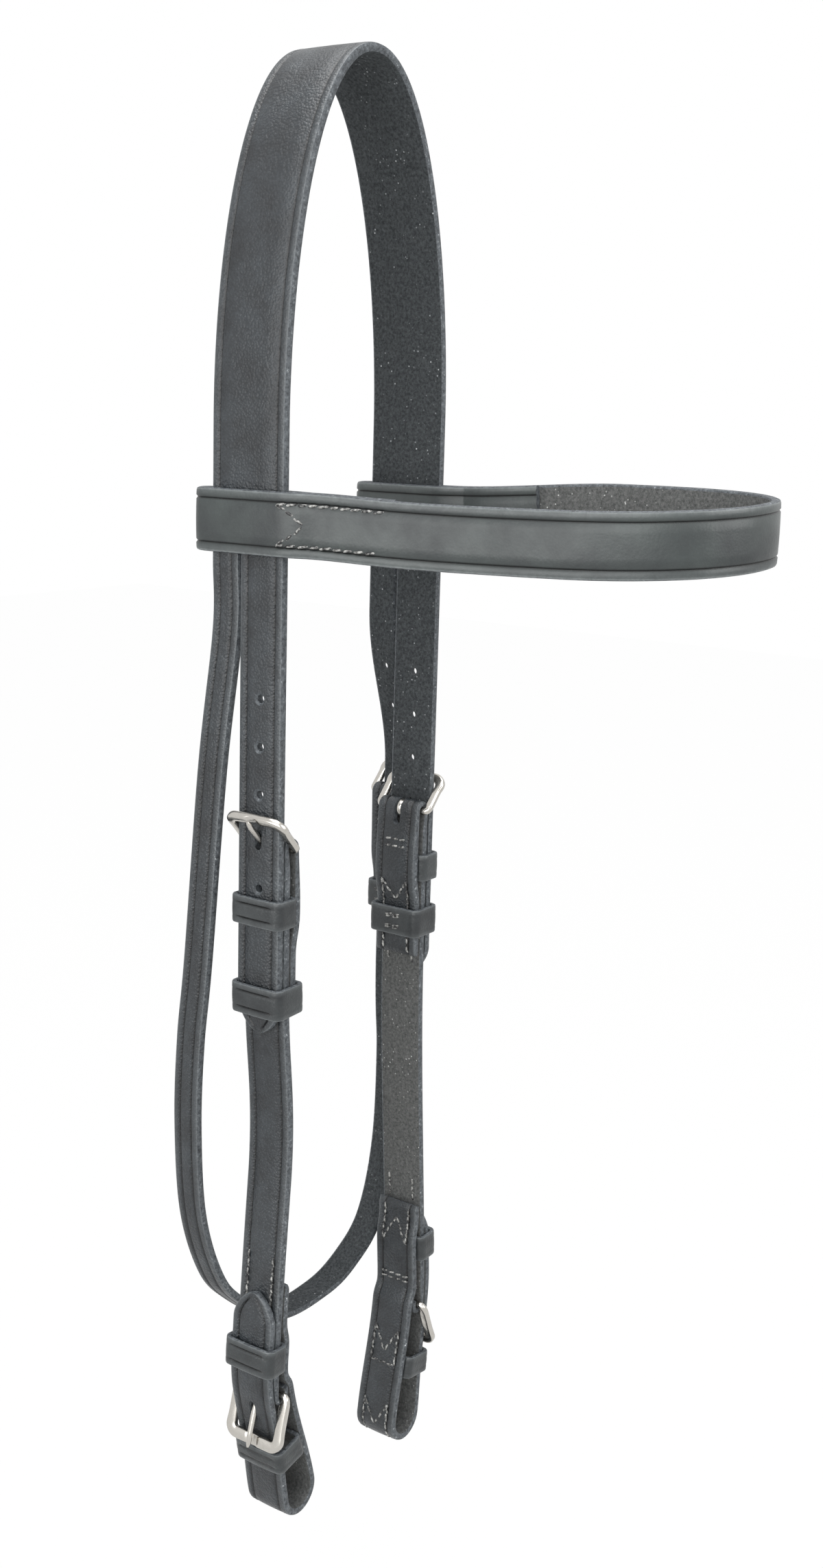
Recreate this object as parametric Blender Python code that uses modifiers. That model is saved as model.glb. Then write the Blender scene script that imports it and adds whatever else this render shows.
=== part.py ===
"""Leather bridle headstall: a headpiece cut into cheek points and throatlash, a browband,
and two cheekpieces that buckle to the headpiece at the top and round the bit at the bottom.

The headstall hangs from its crown. The origin is on the underside of the crown, +Z is up,
the browband faces -Y, the off (right) side is at -X and the near (left) side at +X.
Straps are laid out beside a hanging line on each side: n is measured outwards from that line,
with the headpiece point just outside it and the cheek strap just inside it.
"""
from math import asin, copysign, cos, pi, radians, sin, sqrt

import bmesh
import bpy
from mathutils import Matrix, Vector

# Leather and fit
LEATHER = 0.0034
BILLET_LEATHER = 0.0030
BROWBAND_LEATHER = 0.0034
KEEPER_LEATHER = 0.0018
SKIVED_LEATHER = 0.0022
THROAT_END_LEATHER = 0.0026
GAP = 0.0003

# Headpiece: one strap over the poll, slit into a cheek point and a throat part on each side
HEADPIECE_WIDTH = 0.032
CHEEK_WIDTH = 0.019
SLIT_WIDTH = 0.001
SLIT_DROP = 0.172
HALF_SPAN = 0.0442
ARCH_DROP = 0.125
ARCH_FULLNESS = 1.05
ARCH_PARTS = 29

# Punched holes and the points that carry them
FIRST_HOLE_DROP = 0.218
HOLE_PITCH = 0.0171
HOLE_COUNT = 5
BUCKLED_HOLE = 3
HOLE_DIAMETER = 0.004
CHEEK_POINT_BELOW_HOLE = 0.0712
THROAT_POINT_BELOW_HOLE = 0.062
POINT_TAPER = 0.011
POINT_STEPS = 5
POINT_BLUNTNESS = 0.97

# Buckles: wire frames with a loose tongue on the hinge bar
BUCKLE_WIRE = 0.0028
FREE_BAR_WIRE = 0.0036
TONGUE_WIRE = 0.0020
CHEEK_FRAME_LENGTH = 0.0145
BIT_FRAME_LENGTH = 0.0200
THROAT_FRAME_LENGTH = 0.0140
FRAME_SIDE_ROOM = 0.0005
HINGE_CORNER = 0.0016
FREE_CORNER = 0.0025
TONGUE_OVERHANG = 0.0028
CORNER_STEPS = 3
EYE_STEPS = 9
EYE_START = radians(340)
EYE_END = radians(90)
SHANK_SHARES = ((0.4, 1.0), (0.75, 1.0), (0.93, 0.85), (1.0, 0.45))
HOLE_SEGMENTS = 12
FOLD_STEPS = 8
SKIVE_LENGTH = 0.007
FRAME_SWING = radians(6)
TONGUE_SWING = radians(8)

# Top of each cheekpiece, measured down from the buckle bar
CHAPE_LENGTH = 0.0587
CHAPE_CLOSING = 0.008
CHEEK_KEEPER_DROP = 0.0177
CHEEK_KEEPER_HEIGHT = 0.0105
RUNNER_HEIGHT = 0.0112
KEEPER_CORNER_STEPS = 3
OFF_RUNNER_DROP = 0.0505
NEAR_RUNNER_DROP = 0.0393
CHEEK_LENGTH = 0.2145

# Bit end of each cheekpiece, measured from the bit buckle bar
CHEEK_WAIST_RISE = 0.1100
OFF_SWINGS = (-0.0050, 0.0005, 0.0030)
NEAR_SWINGS = (0.0014, 0.0060, 0.0085)
OFF_BIT_LEAN = radians(13.0)
NEAR_BIT_LEAN = radians(7.0)
BILLET_END_RISE = 0.0460
BILLET_POINT_RISE = 0.0425
BILLET_STEP = 0.006
BIT_RETURN_RISE = 0.002
OFF_UPPER_KEEPER_RISE = 0.0230
NEAR_UPPER_KEEPER_RISE = 0.0320
UPPER_KEEPER_HEIGHT = 0.0108
LOWER_KEEPER_DROP = 0.0220
LOWER_KEEPER_HEIGHT = 0.0090
OFF_BIT_LOOP_DROP = 0.0580
NEAR_BIT_LOOP_DROP = 0.0595
BIT_LOOP_DIAMETER = 0.0190
BIT_LOOP_INSET = 0.0050
BIT_LOOP_STEPS = 13

# Browband
BROWBAND_DROP = 0.1572
BROWBAND_ROLL = 0.060
BROWBAND_ROLL_REACH = 0.070
BROWBAND_HEIGHT = 0.0217
BROWBAND_FOLD = 0.040
BROWBAND_LOOP_ROOM = 0.0008
BROWBAND_CLOSING = 0.010
BROWBAND_STEPS = 3
BROWBAND_LOOP_STEPS = 8
BROWBAND_BOW = (
    (-0.0445, -0.030), (-0.0390, -0.052), (-0.0310, -0.078), (-0.0270, -0.100), (-0.0220, -0.120),
    (-0.0130, -0.136), (0.0010, -0.149), (0.0190, -0.156), (0.0390, -0.155), (0.0540, -0.143),
    (0.0620, -0.120), (0.0615, -0.090), (0.0555, -0.055), (0.0505, -0.032),
)

# Throatlash: the long off-side tail hangs in a loop and comes up to its buckle on the near side
THROAT_LINE_X = 0.0620
THROAT_LINE_Y = 0.0135
THROAT_CHAPE_LENGTH = 0.055
THROAT_KEEPER_DROP = 0.0165
THROAT_KEEPER_HEIGHT = 0.0095
THROAT_RUNNER_DROP = 0.0370
THROAT_DRIFT_START = 0.196
THROAT_DRIFT_END = 0.260
THROAT_RISE_START = 0.345
THROAT_STEPS = 4
DRIFT_STEPS = 6
THROATLASH_ROUTE = (
    (-0.0485, 0.0145, -0.245), (-0.0505, 0.0194, -0.318), (-0.0505, 0.0230, -0.350),
    (-0.0490, 0.0257, -0.384), (-0.0450, 0.0269, -0.421), (-0.0370, 0.0258, -0.448),
    (-0.0270, 0.0235, -0.463), (-0.0050, 0.0205, -0.479), (0.0240, 0.0195, -0.480),
    (0.0390, 0.0160, -0.471), (0.0510, 0.0130, -0.455), (0.0595, 0.0125, -0.425),
    (0.0620, 0.0130, -0.385),
)

# Places that follow from the sizes above
HEADPIECE_FRONT = -HEADPIECE_WIDTH / 2
HEADPIECE_BACK = HEADPIECE_WIDTH / 2
CHEEK_BACK = HEADPIECE_FRONT + CHEEK_WIDTH
THROAT_FRONT = CHEEK_BACK + SLIT_WIDTH
THROAT_WIDTH = HEADPIECE_BACK - THROAT_FRONT
CHEEK_Y = HEADPIECE_FRONT + CHEEK_WIDTH / 2
THROAT_Y = THROAT_FRONT + THROAT_WIDTH / 2
OUTER_LAYER = GAP / 2 + LEATHER / 2
INNER_LAYER = -OUTER_LAYER
OUTER_FACE = GAP / 2 + LEATHER
BUCKLED_HOLE_Z = -(FIRST_HOLE_DROP + BUCKLED_HOLE * HOLE_PITCH)

COLORS = {
    "black leather": ((0.030, 0.033, 0.037), 0.55, 0.0),
    "stainless steel": ((0.62, 0.60, 0.56), 0.25, 1.0),
}
UP = 1
DOWN = -1


def clear_scene():
    """Remove every object of the scene."""
    for item in list(bpy.data.objects):
        bpy.data.objects.remove(item, do_unlink=True)


def new_collection(name):
    """A collection of the scene."""
    group = bpy.data.collections.new(name)
    bpy.context.scene.collection.children.link(group)
    return group


def new_material(name):
    """A Principled material with the colour, roughness and metallic value of a real finish."""
    color, roughness, metallic = COLORS[name]
    material = bpy.data.materials.new(name)
    material.use_nodes = True
    shader = material.node_tree.nodes["Principled BSDF"]
    shader.inputs["Base Color"].default_value = (*color, 1.0)
    shader.inputs["Roughness"].default_value = roughness
    shader.inputs["Metallic"].default_value = metallic
    return material


def smoothstep(t):
    """0 to 1 with level ends."""
    t = min(max(t, 0.0), 1.0)
    return t * t * (3 - 2 * t)


def blend(a, b, t):
    """The value between a and b at t, with level ends."""
    return a + (b - a) * smoothstep(t)


def smooth_path(points, steps):
    """Catmull-Rom points through a route; its first and last points only set the direction."""
    route = [Vector(p) for p in points]
    path = []
    for i in range(1, len(route) - 2):
        a, b, c, d = route[i - 1:i + 3]
        for k in range(steps):
            t = k / steps
            bend = (2 * a - 5 * b + 4 * c - d) * t + (3 * b - a - 3 * c + d) * t * t
            path.append(b + 0.5 * t * ((c - a) + bend))
    path.append(route[-2])
    return path


def arc(radius, start, end, steps):
    """Points (across, along) on a round stretch between two angles."""
    angles = [start + (end - start) * k / steps for k in range(steps + 1)]
    return [(radius * cos(a), radius * sin(a)) for a in angles]


class HangingLine:
    """The line that a stack of straps hangs along, with n measured outwards from it.

    It is plumb below the arch, swings outwards by the amounts given at its knots, and below its
    bend leans inwards by an angle.
    """

    def __init__(self, sign):
        self.sign = sign
        self.knots = []
        self.bend_z = -1.0
        self.bit_lean = 0.0

    def swing(self, z):
        """How far the straps swing outwards from the plumb line at height z."""
        for (high, high_swing), (low, low_swing) in zip(self.knots, self.knots[1:]):
            if low <= z <= high:
                return high_swing + (low_swing - high_swing) * (high - z) / (high - low)
        return 0.0

    def distance(self, z):
        """How far the line is from the middle of the headstall at height z."""
        return HALF_SPAN + self.swing(z)

    def vector(self, n, rise, z):
        """A direction given outwards and up along the line."""
        lean = self.bit_lean if z < self.bend_z else 0.0
        return Vector((self.sign * (n * cos(lean) + rise * sin(lean)), 0.0, rise * cos(lean) - n * sin(lean)))

    def at(self, n, y, z):
        """The point in the part's frame."""
        start = max(z, self.bend_z)
        base = Vector((self.sign * self.distance(start), y, start))
        return base + self.vector(n, z - start, z)


class PlumbLine(HangingLine):
    """A hanging line that is plumb, for the throatlash buckle."""

    def __init__(self, sign, x):
        super().__init__(sign)
        self.x = x

    def distance(self, z):
        """The same at every height."""
        return self.x


class Buckle:
    """Where a buckle sits in a stack: hinge bar inside, free bar outside the point strap."""

    def __init__(self, line, y, way, strap_width, over, length, fold):
        self.line = line
        self.y = y
        self.way = way
        self.strap_width = strap_width
        self.over = over
        self.length = length
        self.fold = fold
        self.wire = BUCKLE_WIRE / 2
        self.bar_n = -GAP / 2 - fold - GAP - self.wire
        self.free_n = GAP / 2 + over + GAP + FREE_BAR_WIRE / 2
        self.tilt = asin((self.free_n - self.bar_n) / length)
        self.tongue_lift = self.wire + GAP + TONGUE_WIRE / 2
        self.tip_lift = FREE_BAR_WIRE / 2 + GAP + TONGUE_WIRE / 2
        self.bar_z = 0.0

    def hole_reach(self, swing):
        """Distance along the tongue, from the bar to the middle of the point strap."""
        middle = GAP / 2 + self.over / 2
        angle = self.tilt + swing
        return (middle - self.bar_n - self.tongue_lift * cos(angle)) / sin(angle)

    def hole_rise(self, swing=0.0):
        """Height of the tongue where it crosses the point strap, from the bar."""
        angle = self.tilt + swing
        return self.way * (self.hole_reach(swing) * cos(angle) - self.tongue_lift * sin(angle))

    def seat_on_hole(self, hole_z):
        """Place the bar so that the tongue comes through a hole of the point strap."""
        self.bar_z = hole_z - self.hole_rise()
        return self

    def seat_on_bar(self, bar_z):
        """Place the bar itself."""
        self.bar_z = bar_z
        return self

    def local(self, along, lift, y=0.0):
        """A point given along the frame from the bar, lifted off its plane, and across."""
        n = self.bar_n + along * sin(self.tilt) + lift * cos(self.tilt)
        z = self.bar_z + self.way * (along * cos(self.tilt) - lift * sin(self.tilt))
        return self.line.at(n, self.y + y, z)

    @property
    def origin(self):
        """The middle of the hinge bar."""
        return self.line.at(self.bar_n, self.y, self.bar_z)


class Workshop:
    """Makes the named objects and keeps the collections and materials."""

    def __init__(self):
        self.parts = new_collection("bridle_headstall")
        self.cutters = new_collection("bridle_headstall_cutters")
        self.leather = new_material("black leather")
        self.steel = new_material("stainless steel")

    def strap(self, name, grids, thickness, origin=None):
        """A leather piece: grids of points along and across it, thickened about their surface.

        Each grid is a pair: its rows, and the share of the thickness at each row.
        """
        origin = origin or Vector((0, 0, 0))
        bm = bmesh.new()
        layer = bm.verts.layers.deform.verify()
        for rows, shares in grids:
            shaped_grid(bm, layer, [[p - origin for p in row] for row in rows], shares)
        bmesh.ops.remove_doubles(bm, verts=bm.verts, dist=GAP / 100)
        bmesh.ops.recalc_face_normals(bm, faces=bm.faces)
        mesh = bpy.data.meshes.new(name)
        bm.to_mesh(mesh)
        bm.free()
        piece = self.add(name, mesh, self.leather, origin)
        piece.vertex_groups.new(name="thickness")
        thicken = piece.modifiers.new("Leather", "SOLIDIFY")
        thicken.thickness = thickness
        thicken.offset = 0.0
        thicken.use_even_offset = True
        thicken.vertex_group = "thickness"
        return piece

    def wire(self, name, points, radii, origin, closed):
        """A bent round wire with its radius given at each point."""
        curve = bpy.data.curves.new(name, "CURVE")
        curve.dimensions = "3D"
        curve.bevel_depth = 1.0
        curve.bevel_resolution = 2
        curve.use_fill_caps = not closed
        spline = curve.splines.new("POLY")
        spline.points.add(len(points) - 1)
        for bead, point, radius in zip(spline.points, points, radii):
            bead.co = (*(point - origin), 1.0)
            bead.radius = radius
        spline.use_cyclic_u = closed
        return self.add(name, curve, self.steel, origin)

    def add(self, name, data, material, origin):
        """Put data in the scene as a named part."""
        data.materials.append(material)
        piece = bpy.data.objects.new(name, data)
        piece.location = origin
        self.parts.objects.link(piece)
        return piece

    def cut(self, piece, name, shapes):
        """Cut a piece with punches and slots, each a function that adds to a bmesh."""
        bm = bmesh.new()
        for shape in shapes:
            shape(bm)
        mesh = bpy.data.meshes.new(name)
        bm.to_mesh(mesh)
        bm.free()
        cutter = bpy.data.objects.new(name, mesh)
        cutter.hide_render = True
        cutter.display_type = "WIRE"
        self.cutters.objects.link(cutter)
        boolean = piece.modifiers.new(name, "BOOLEAN")
        boolean.operation = "DIFFERENCE"
        boolean.object = cutter


def shaped_grid(bm, layer, rows, shares=None):
    """Add a grid whose points are moved to the given rows."""
    along = len(rows) - 1
    across = len(rows[0]) - 1
    made = bmesh.ops.create_grid(bm, x_segments=across, y_segments=along, size=1.0)
    for vert in made["verts"]:
        row = round((vert.co.y + 1) / 2 * along)
        column = round((vert.co.x + 1) / 2 * across)
        vert.co = rows[row][column]
        vert[layer][0] = shares[row] if shares else 1.0


def punch(center, direction, width, length, depth):
    """A round or oval punch: width across the strap, length along it."""
    def add(bm):
        axis = Vector(direction).normalized()
        across = Vector((0, 1, 0))
        turn = Matrix((across, axis.cross(across), axis)).transposed().to_4x4()
        size = Matrix.Diagonal((width / 2, length / 2, 1, 1))
        bmesh.ops.create_cone(bm, cap_ends=True, segments=HOLE_SEGMENTS, radius1=1, radius2=1, depth=depth,
                              matrix=Matrix.Translation(center) @ turn @ size)
    return add


def slot(center, outwards, up, size):
    """A cut box, its size given outwards, across and up."""
    def add(bm):
        turn = Matrix((outwards, up.cross(outwards), up)).transposed().to_4x4()
        matrix = Matrix.Translation(center) @ turn @ Matrix.Diagonal((*size, 1))
        bmesh.ops.create_cube(bm, size=1.0, matrix=matrix)
    return add


def strap_row(line, n, y, width, z):
    """A row of two points across a strap that lies on a hanging line."""
    return [line.at(n, y - width / 2, z), line.at(n, y + width / 2, z)]


def point_rows(line, n, y, width, tip_z, full_z):
    """Rows that narrow a strap to a rounded point."""
    rows = []
    for k in range(POINT_STEPS + 1):
        t = k / POINT_STEPS
        share = sqrt(1 - (POINT_BLUNTNESS * t) ** 2)
        rows.append(strap_row(line, n, y, width * share, full_z + (tip_z - full_z) * t))
    return rows


def tongue_hole(buckle):
    """An oval punch through the point strap, long enough for the tongue to swing."""
    middle = (FRAME_SWING + TONGUE_SWING) / 2
    angle = buckle.tilt + middle
    hole_z = buckle.bar_z + buckle.hole_rise(middle)
    center = buckle.line.at(GAP / 2 + buckle.over / 2, buckle.y, hole_z)
    direction = buckle.line.vector(sin(angle), buckle.way * cos(angle), buckle.bar_z)
    width = TONGUE_WIRE + 3 * GAP
    length = width + 2 * (buckle.hole_reach(0.0) + buckle.over) * sin(middle)
    return punch(center, direction, width, length, (buckle.over + length * cos(angle)) / sin(angle))


def plain_holes(line, y_at):
    """Round punches through a point strap, all but the one that the tongue is in."""
    punches = []
    for k in range(HOLE_COUNT):
        z = -(FIRST_HOLE_DROP + k * HOLE_PITCH)
        n, y = y_at(z)
        if k != BUCKLED_HOLE:
            punches.append(punch(line.at(n, y, z), (1, 0, 0), HOLE_DIAMETER, HOLE_DIAMETER, 2 * LEATHER))
    return punches


def tongue_slot(buckle):
    """The slot in the fold that lets the tongue turn on its bar."""
    line, z = buckle.line, buckle.bar_z
    eye = buckle.tongue_lift + TONGUE_WIRE / 2 + 2 * GAP
    fold = buckle.wire + GAP + buckle.fold + GAP
    low_n, high_n = buckle.bar_n - fold, GAP / 2
    center = line.at((low_n + high_n) / 2, buckle.y, z + buckle.way * (fold - eye) / 2)
    size = (high_n - low_n, TONGUE_WIRE + 4 * GAP, fold + eye)
    return slot(center, line.vector(1, 0, z), line.vector(0, 1, z), size)


def make_buckle(shop, name, buckle):
    """The wire frame, thicker at its free bar, and its tongue, both turning on the hinge bar."""
    half = buckle.strap_width / 2 + FRAME_SIDE_ROOM + buckle.wire
    outline, radii = [], []
    for along, across, corner, first in (
            (buckle.length, half, FREE_CORNER, 0), (0.0, half, HINGE_CORNER, 90),
            (0.0, -half, HINGE_CORNER, 180), (buckle.length, -half, FREE_CORNER, 270)):
        middle_along = along - corner if along else corner
        middle_across = across - copysign(corner, across)
        for a, b in arc(corner, radians(first), radians(first + 90), CORNER_STEPS):
            share = (middle_along + a) / buckle.length
            outline.append(buckle.local(middle_along + a, 0.0, middle_across + b))
            radii.append(blend(buckle.wire, FREE_BAR_WIRE / 2, share))
    shop.wire(f"{name}_frame", outline, radii, buckle.origin, True)

    eye = [buckle.local(a, b) for a, b in arc(buckle.tongue_lift, EYE_START, EYE_END, EYE_STEPS)]
    reach = buckle.length + TONGUE_OVERHANG
    rise = buckle.tip_lift - buckle.tongue_lift
    shank = [buckle.local(reach * t, buckle.tongue_lift + rise * t) for t, _ in SHANK_SHARES]
    radii = [TONGUE_WIRE / 2] * len(eye) + [TONGUE_WIRE / 2 * share for _, share in SHANK_SHARES]
    shop.wire(f"{name}_tongue", eye + shank, radii, buckle.origin, False)


def make_keeper(shop, name, line, rooms, y, width, z_top, height, origin=None):
    """A leather band round a stack of straps; rooms gives its inner n to n at top and bottom."""
    radius = KEEPER_LEATHER / 2 + 2 * GAP
    half_y = width / 2 + GAP + KEEPER_LEATHER / 2 - radius
    rows = []
    for side_n, side_y, first in ((1, 1, 0), (-1, 1, 90), (-1, -1, 180), (1, -1, 270)):
        for a, b in arc(radius, radians(first), radians(first + 90), KEEPER_CORNER_STEPS):
            row = []
            for (low, high), z in zip(rooms, (z_top, z_top - height)):
                half_n = (high - low) / 2 + KEEPER_LEATHER / 2 - radius
                row.append(line.at((low + high) / 2 + side_n * half_n + a, y + side_y * half_y + b, z))
            rows.append(row)
    rows.append(rows[0])
    return shop.strap(name, [(rows, None)], KEEPER_LEATHER, origin)


def chape_stations(buckle, leather, end_z, keeper_top, keeper_height):
    """Centre line (n, z, thickness) of a strap end turned down round the bar and sewn to itself,
    with room for a keeper between the strap and its turned end."""
    turn = buckle.wire + GAP + buckle.fold / 2
    inner_face = -GAP / 2 - leather
    behind_keeper = inner_face - 2 * GAP - KEEPER_LEATHER - leather / 2
    behind_strap = inner_face - GAP - leather / 2
    keeper_bottom = keeper_top - keeper_height
    stations = [(inner_face + leather / 2, buckle.bar_z - SKIVE_LENGTH, leather)]
    stations += [(buckle.bar_n + a, buckle.bar_z + b, buckle.fold) for a, b in arc(turn, 0.0, pi, FOLD_STEPS)]
    stations += [(behind_keeper, keeper_top + GAP, leather), (behind_keeper, keeper_bottom - GAP, leather),
                 (behind_strap, keeper_bottom - CHAPE_CLOSING, leather), (behind_strap, end_z, leather)]
    return stations


class CheekSide:
    """One side of the headstall: its hanging line, its buckles and where its keepers sit.

    Swings gives how far the cheek strap hangs outwards at its waist, at the billet and at the bend.
    """

    def __init__(self, name, sign, swings, bit_lean, runner_drop, upper_keeper_rise, loop_drop):
        self.name = name
        self.runner_drop = runner_drop
        self.upper_keeper_rise = upper_keeper_rise
        self.loop_drop = loop_drop
        line = HangingLine(sign)
        self.line = line
        self.cheek_buckle = Buckle(line, CHEEK_Y, UP, CHEEK_WIDTH, LEATHER, CHEEK_FRAME_LENGTH,
                                   SKIVED_LEATHER).seat_on_hole(BUCKLED_HOLE_Z)
        bit_bar_z = self.cheek_buckle.bar_z - CHEEK_LENGTH
        self.point_z = BUCKLED_HOLE_Z - CHEEK_POINT_BELOW_HOLE
        self.waist_z = bit_bar_z + CHEEK_WAIST_RISE
        self.billet_z = bit_bar_z + BILLET_END_RISE
        line.bend_z = bit_bar_z + SKIVE_LENGTH
        line.bit_lean = bit_lean
        line.knots = list(zip((self.point_z, self.waist_z, self.billet_z, line.bend_z), (0.0, *swings)))
        self.bit_buckle = Buckle(line, CHEEK_Y, DOWN, CHEEK_WIDTH, BILLET_LEATHER, BIT_FRAME_LENGTH,
                                 SKIVED_LEATHER).seat_on_bar(bit_bar_z)


def make_cheek_strap(shop, side):
    """The cheek strap, turned round the bar of a buckle at each end."""
    line, top, bit = side.line, side.cheek_buckle, side.bit_buckle
    turn = bit.wire + GAP + bit.fold / 2
    stations = [(bit.bar_n - turn, bit.bar_z + BIT_RETURN_RISE, bit.fold)]
    stations += [(bit.bar_n + a, bit.bar_z - b, bit.fold) for a, b in arc(turn, pi, 0.0, FOLD_STEPS)]
    stations += [(INNER_LAYER, z, LEATHER) for z in (line.bend_z, side.billet_z, side.waist_z, side.point_z)]
    stations += chape_stations(top, LEATHER, top.bar_z - CHAPE_LENGTH, top.bar_z - CHEEK_KEEPER_DROP,
                               CHEEK_KEEPER_HEIGHT)
    rows = [strap_row(line, n, CHEEK_Y, CHEEK_WIDTH, z) for n, z, _ in stations]
    shares = [thickness / LEATHER for _, _, thickness in stations]
    strap = shop.strap(f"{side.name}_cheek_strap", [(rows, shares)], LEATHER)
    shop.cut(strap, f"{side.name}_tongue_slots", [tongue_slot(top), tongue_slot(bit)])


def make_cheek_keepers(shop, side):
    """The sewn keeper and the sliding runner below the cheek buckle."""
    line, top = side.line, side.cheek_buckle
    outside = OUTER_FACE + GAP
    sewn = (-OUTER_FACE - GAP, outside)
    loose = (-OUTER_FACE - LEATHER - 2 * GAP, outside)
    make_keeper(shop, f"{side.name}_cheek_keeper", line, (sewn, sewn), CHEEK_Y, CHEEK_WIDTH,
                top.bar_z - CHEEK_KEEPER_DROP, CHEEK_KEEPER_HEIGHT)
    runner_z = top.bar_z - side.runner_drop
    make_keeper(shop, f"{side.name}_cheek_runner", line, (loose, loose), CHEEK_Y, CHEEK_WIDTH,
                runner_z, RUNNER_HEIGHT, line.at(0, CHEEK_Y, runner_z))


def make_bit_end(shop, side):
    """The billet, sewn inside the cheek strap, looped round the bit and buckled outside it."""
    line, bit = side.line, side.bit_buckle
    half = BILLET_LEATHER / 2
    upper_top = bit.bar_z + side.upper_keeper_rise
    lower_top = bit.bar_z - LOWER_KEEPER_DROP
    lower_bottom = lower_top - LOWER_KEEPER_HEIGHT
    against_strap = -OUTER_FACE - GAP - half
    behind_keeper = -OUTER_FACE - 2 * GAP - KEEPER_LEATHER - half
    behind_fold = bit.bar_n - bit.wire - 2 * GAP - bit.fold - half
    fold_z = bit.bar_z - bit.wire - 2 * GAP - bit.fold
    outer = GAP / 2 + half
    loop_radius = BIT_LOOP_DIAMETER / 2 - half
    loop_z = bit.bar_z - side.loop_drop + BIT_LOOP_DIAMETER / 2
    inner_loop = -BIT_LOOP_INSET - loop_radius
    outer_loop = -BIT_LOOP_INSET + loop_radius

    def inner_leg(z):
        return blend(behind_fold, inner_loop, (fold_z - z) / (fold_z - loop_z))

    def outer_leg(z):
        return blend(outer, outer_loop, (lower_top - z) / (lower_top - loop_z))

    path = [(against_strap, side.billet_z), (against_strap, upper_top + BILLET_STEP),
            (behind_keeper, upper_top + GAP), (behind_keeper, line.bend_z),
            (behind_fold, bit.bar_z + BIT_RETURN_RISE + GAP), (behind_fold, fold_z)]
    middle_z = (fold_z + lower_top) / 2
    path += [(inner_leg(z), z) for z in (middle_z, lower_top, lower_bottom)]
    path += [(a - BIT_LOOP_INSET, loop_z + b) for a, b in arc(loop_radius, pi, 2 * pi, BIT_LOOP_STEPS)]
    path += [(outer_leg(z), z) for z in (lower_bottom, lower_top, line.bend_z)]
    rows = [strap_row(line, n, CHEEK_Y, CHEEK_WIDTH, z) for n, z in path]
    tip_z = bit.bar_z + BILLET_POINT_RISE
    rows += point_rows(line, outer, CHEEK_Y, CHEEK_WIDTH, tip_z, tip_z - POINT_TAPER)
    billet = shop.strap(f"{side.name}_bit_billet", [(rows, None)], BILLET_LEATHER)
    shop.cut(billet, f"{side.name}_billet_hole", [tongue_hole(bit)])

    upper = (-OUTER_FACE - GAP, GAP / 2 + BILLET_LEATHER + GAP)
    make_keeper(shop, f"{side.name}_bit_upper_keeper", line, (upper, upper), CHEEK_Y, CHEEK_WIDTH,
                upper_top, UPPER_KEEPER_HEIGHT)
    lower = [(inner_leg(z) + half + GAP + KEEPER_LEATHER, outer_leg(z) + half + GAP)
             for z in (lower_top, lower_bottom)]
    make_keeper(shop, f"{side.name}_bit_lower_keeper", line, lower, CHEEK_Y, CHEEK_WIDTH,
                lower_top, LOWER_KEEPER_HEIGHT)


def make_headpiece(shop, off, near, throat_buckle):
    """The headpiece: crown, two cheek points, the near throat point and the long throatlash."""
    columns = (HEADPIECE_FRONT, CHEEK_BACK, THROAT_FRONT, HEADPIECE_BACK)
    step = pi / ARCH_PARTS
    half_width = HALF_SPAN + OUTER_LAYER
    height = (ARCH_DROP + LEATHER / 2) / cos(step / 2)
    crown = [[off.line.at(OUTER_LAYER, y, -SLIT_DROP) for y in columns]]
    for k in range(ARCH_PARTS + 1):
        angle = k * step - pi / 2
        x = copysign(half_width * abs(sin(angle)) ** (1 / ARCH_FULLNESS), angle)
        crown.append([Vector((x, y, height * cos(angle) - ARCH_DROP)) for y in columns])
    crown.append([near.line.at(OUTER_LAYER, y, -SLIT_DROP) for y in columns])
    grids = [(crown, None)]

    punches = [tongue_hole(buckle) for buckle in (off.cheek_buckle, near.cheek_buckle, throat_buckle)]
    for side in (off, near):
        rows = [strap_row(side.line, OUTER_LAYER, CHEEK_Y, CHEEK_WIDTH, -SLIT_DROP)]
        rows += point_rows(side.line, OUTER_LAYER, CHEEK_Y, CHEEK_WIDTH, side.point_z,
                           side.point_z + POINT_TAPER)
        grids.append((rows, None))
        punches += plain_holes(side.line, lambda z: (OUTER_LAYER, CHEEK_Y))

    def drift(z):
        share = smoothstep((-z - THROAT_DRIFT_START) / (THROAT_DRIFT_END - THROAT_DRIFT_START))
        shift = throat_buckle.line.distance(z) - near.line.distance(z)
        return OUTER_LAYER + share * shift, THROAT_Y + share * (THROAT_LINE_Y - THROAT_Y)

    point_tip = BUCKLED_HOLE_Z - THROAT_POINT_BELOW_HOLE
    drift_zs = [-THROAT_DRIFT_START - (THROAT_DRIFT_END - THROAT_DRIFT_START) * k / DRIFT_STEPS
                for k in range(DRIFT_STEPS + 1)]
    rows = []
    for z in [-SLIT_DROP] + drift_zs:
        n, y = drift(z)
        rows.append(strap_row(near.line, n, y, THROAT_WIDTH, z))
    rows += point_rows(throat_buckle.line, OUTER_LAYER, THROAT_LINE_Y, THROAT_WIDTH, point_tip,
                       point_tip + POINT_TAPER)
    grids.append((rows, None))
    punches += plain_holes(near.line, drift)

    grids.append(throatlash_rows(off, throat_buckle))
    headpiece = shop.strap("headpiece", grids, LEATHER)
    shop.cut(headpiece, "headpiece_holes", punches)
    shop.cut(headpiece, "throat_tongue_slot", [tongue_slot(throat_buckle)])


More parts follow.
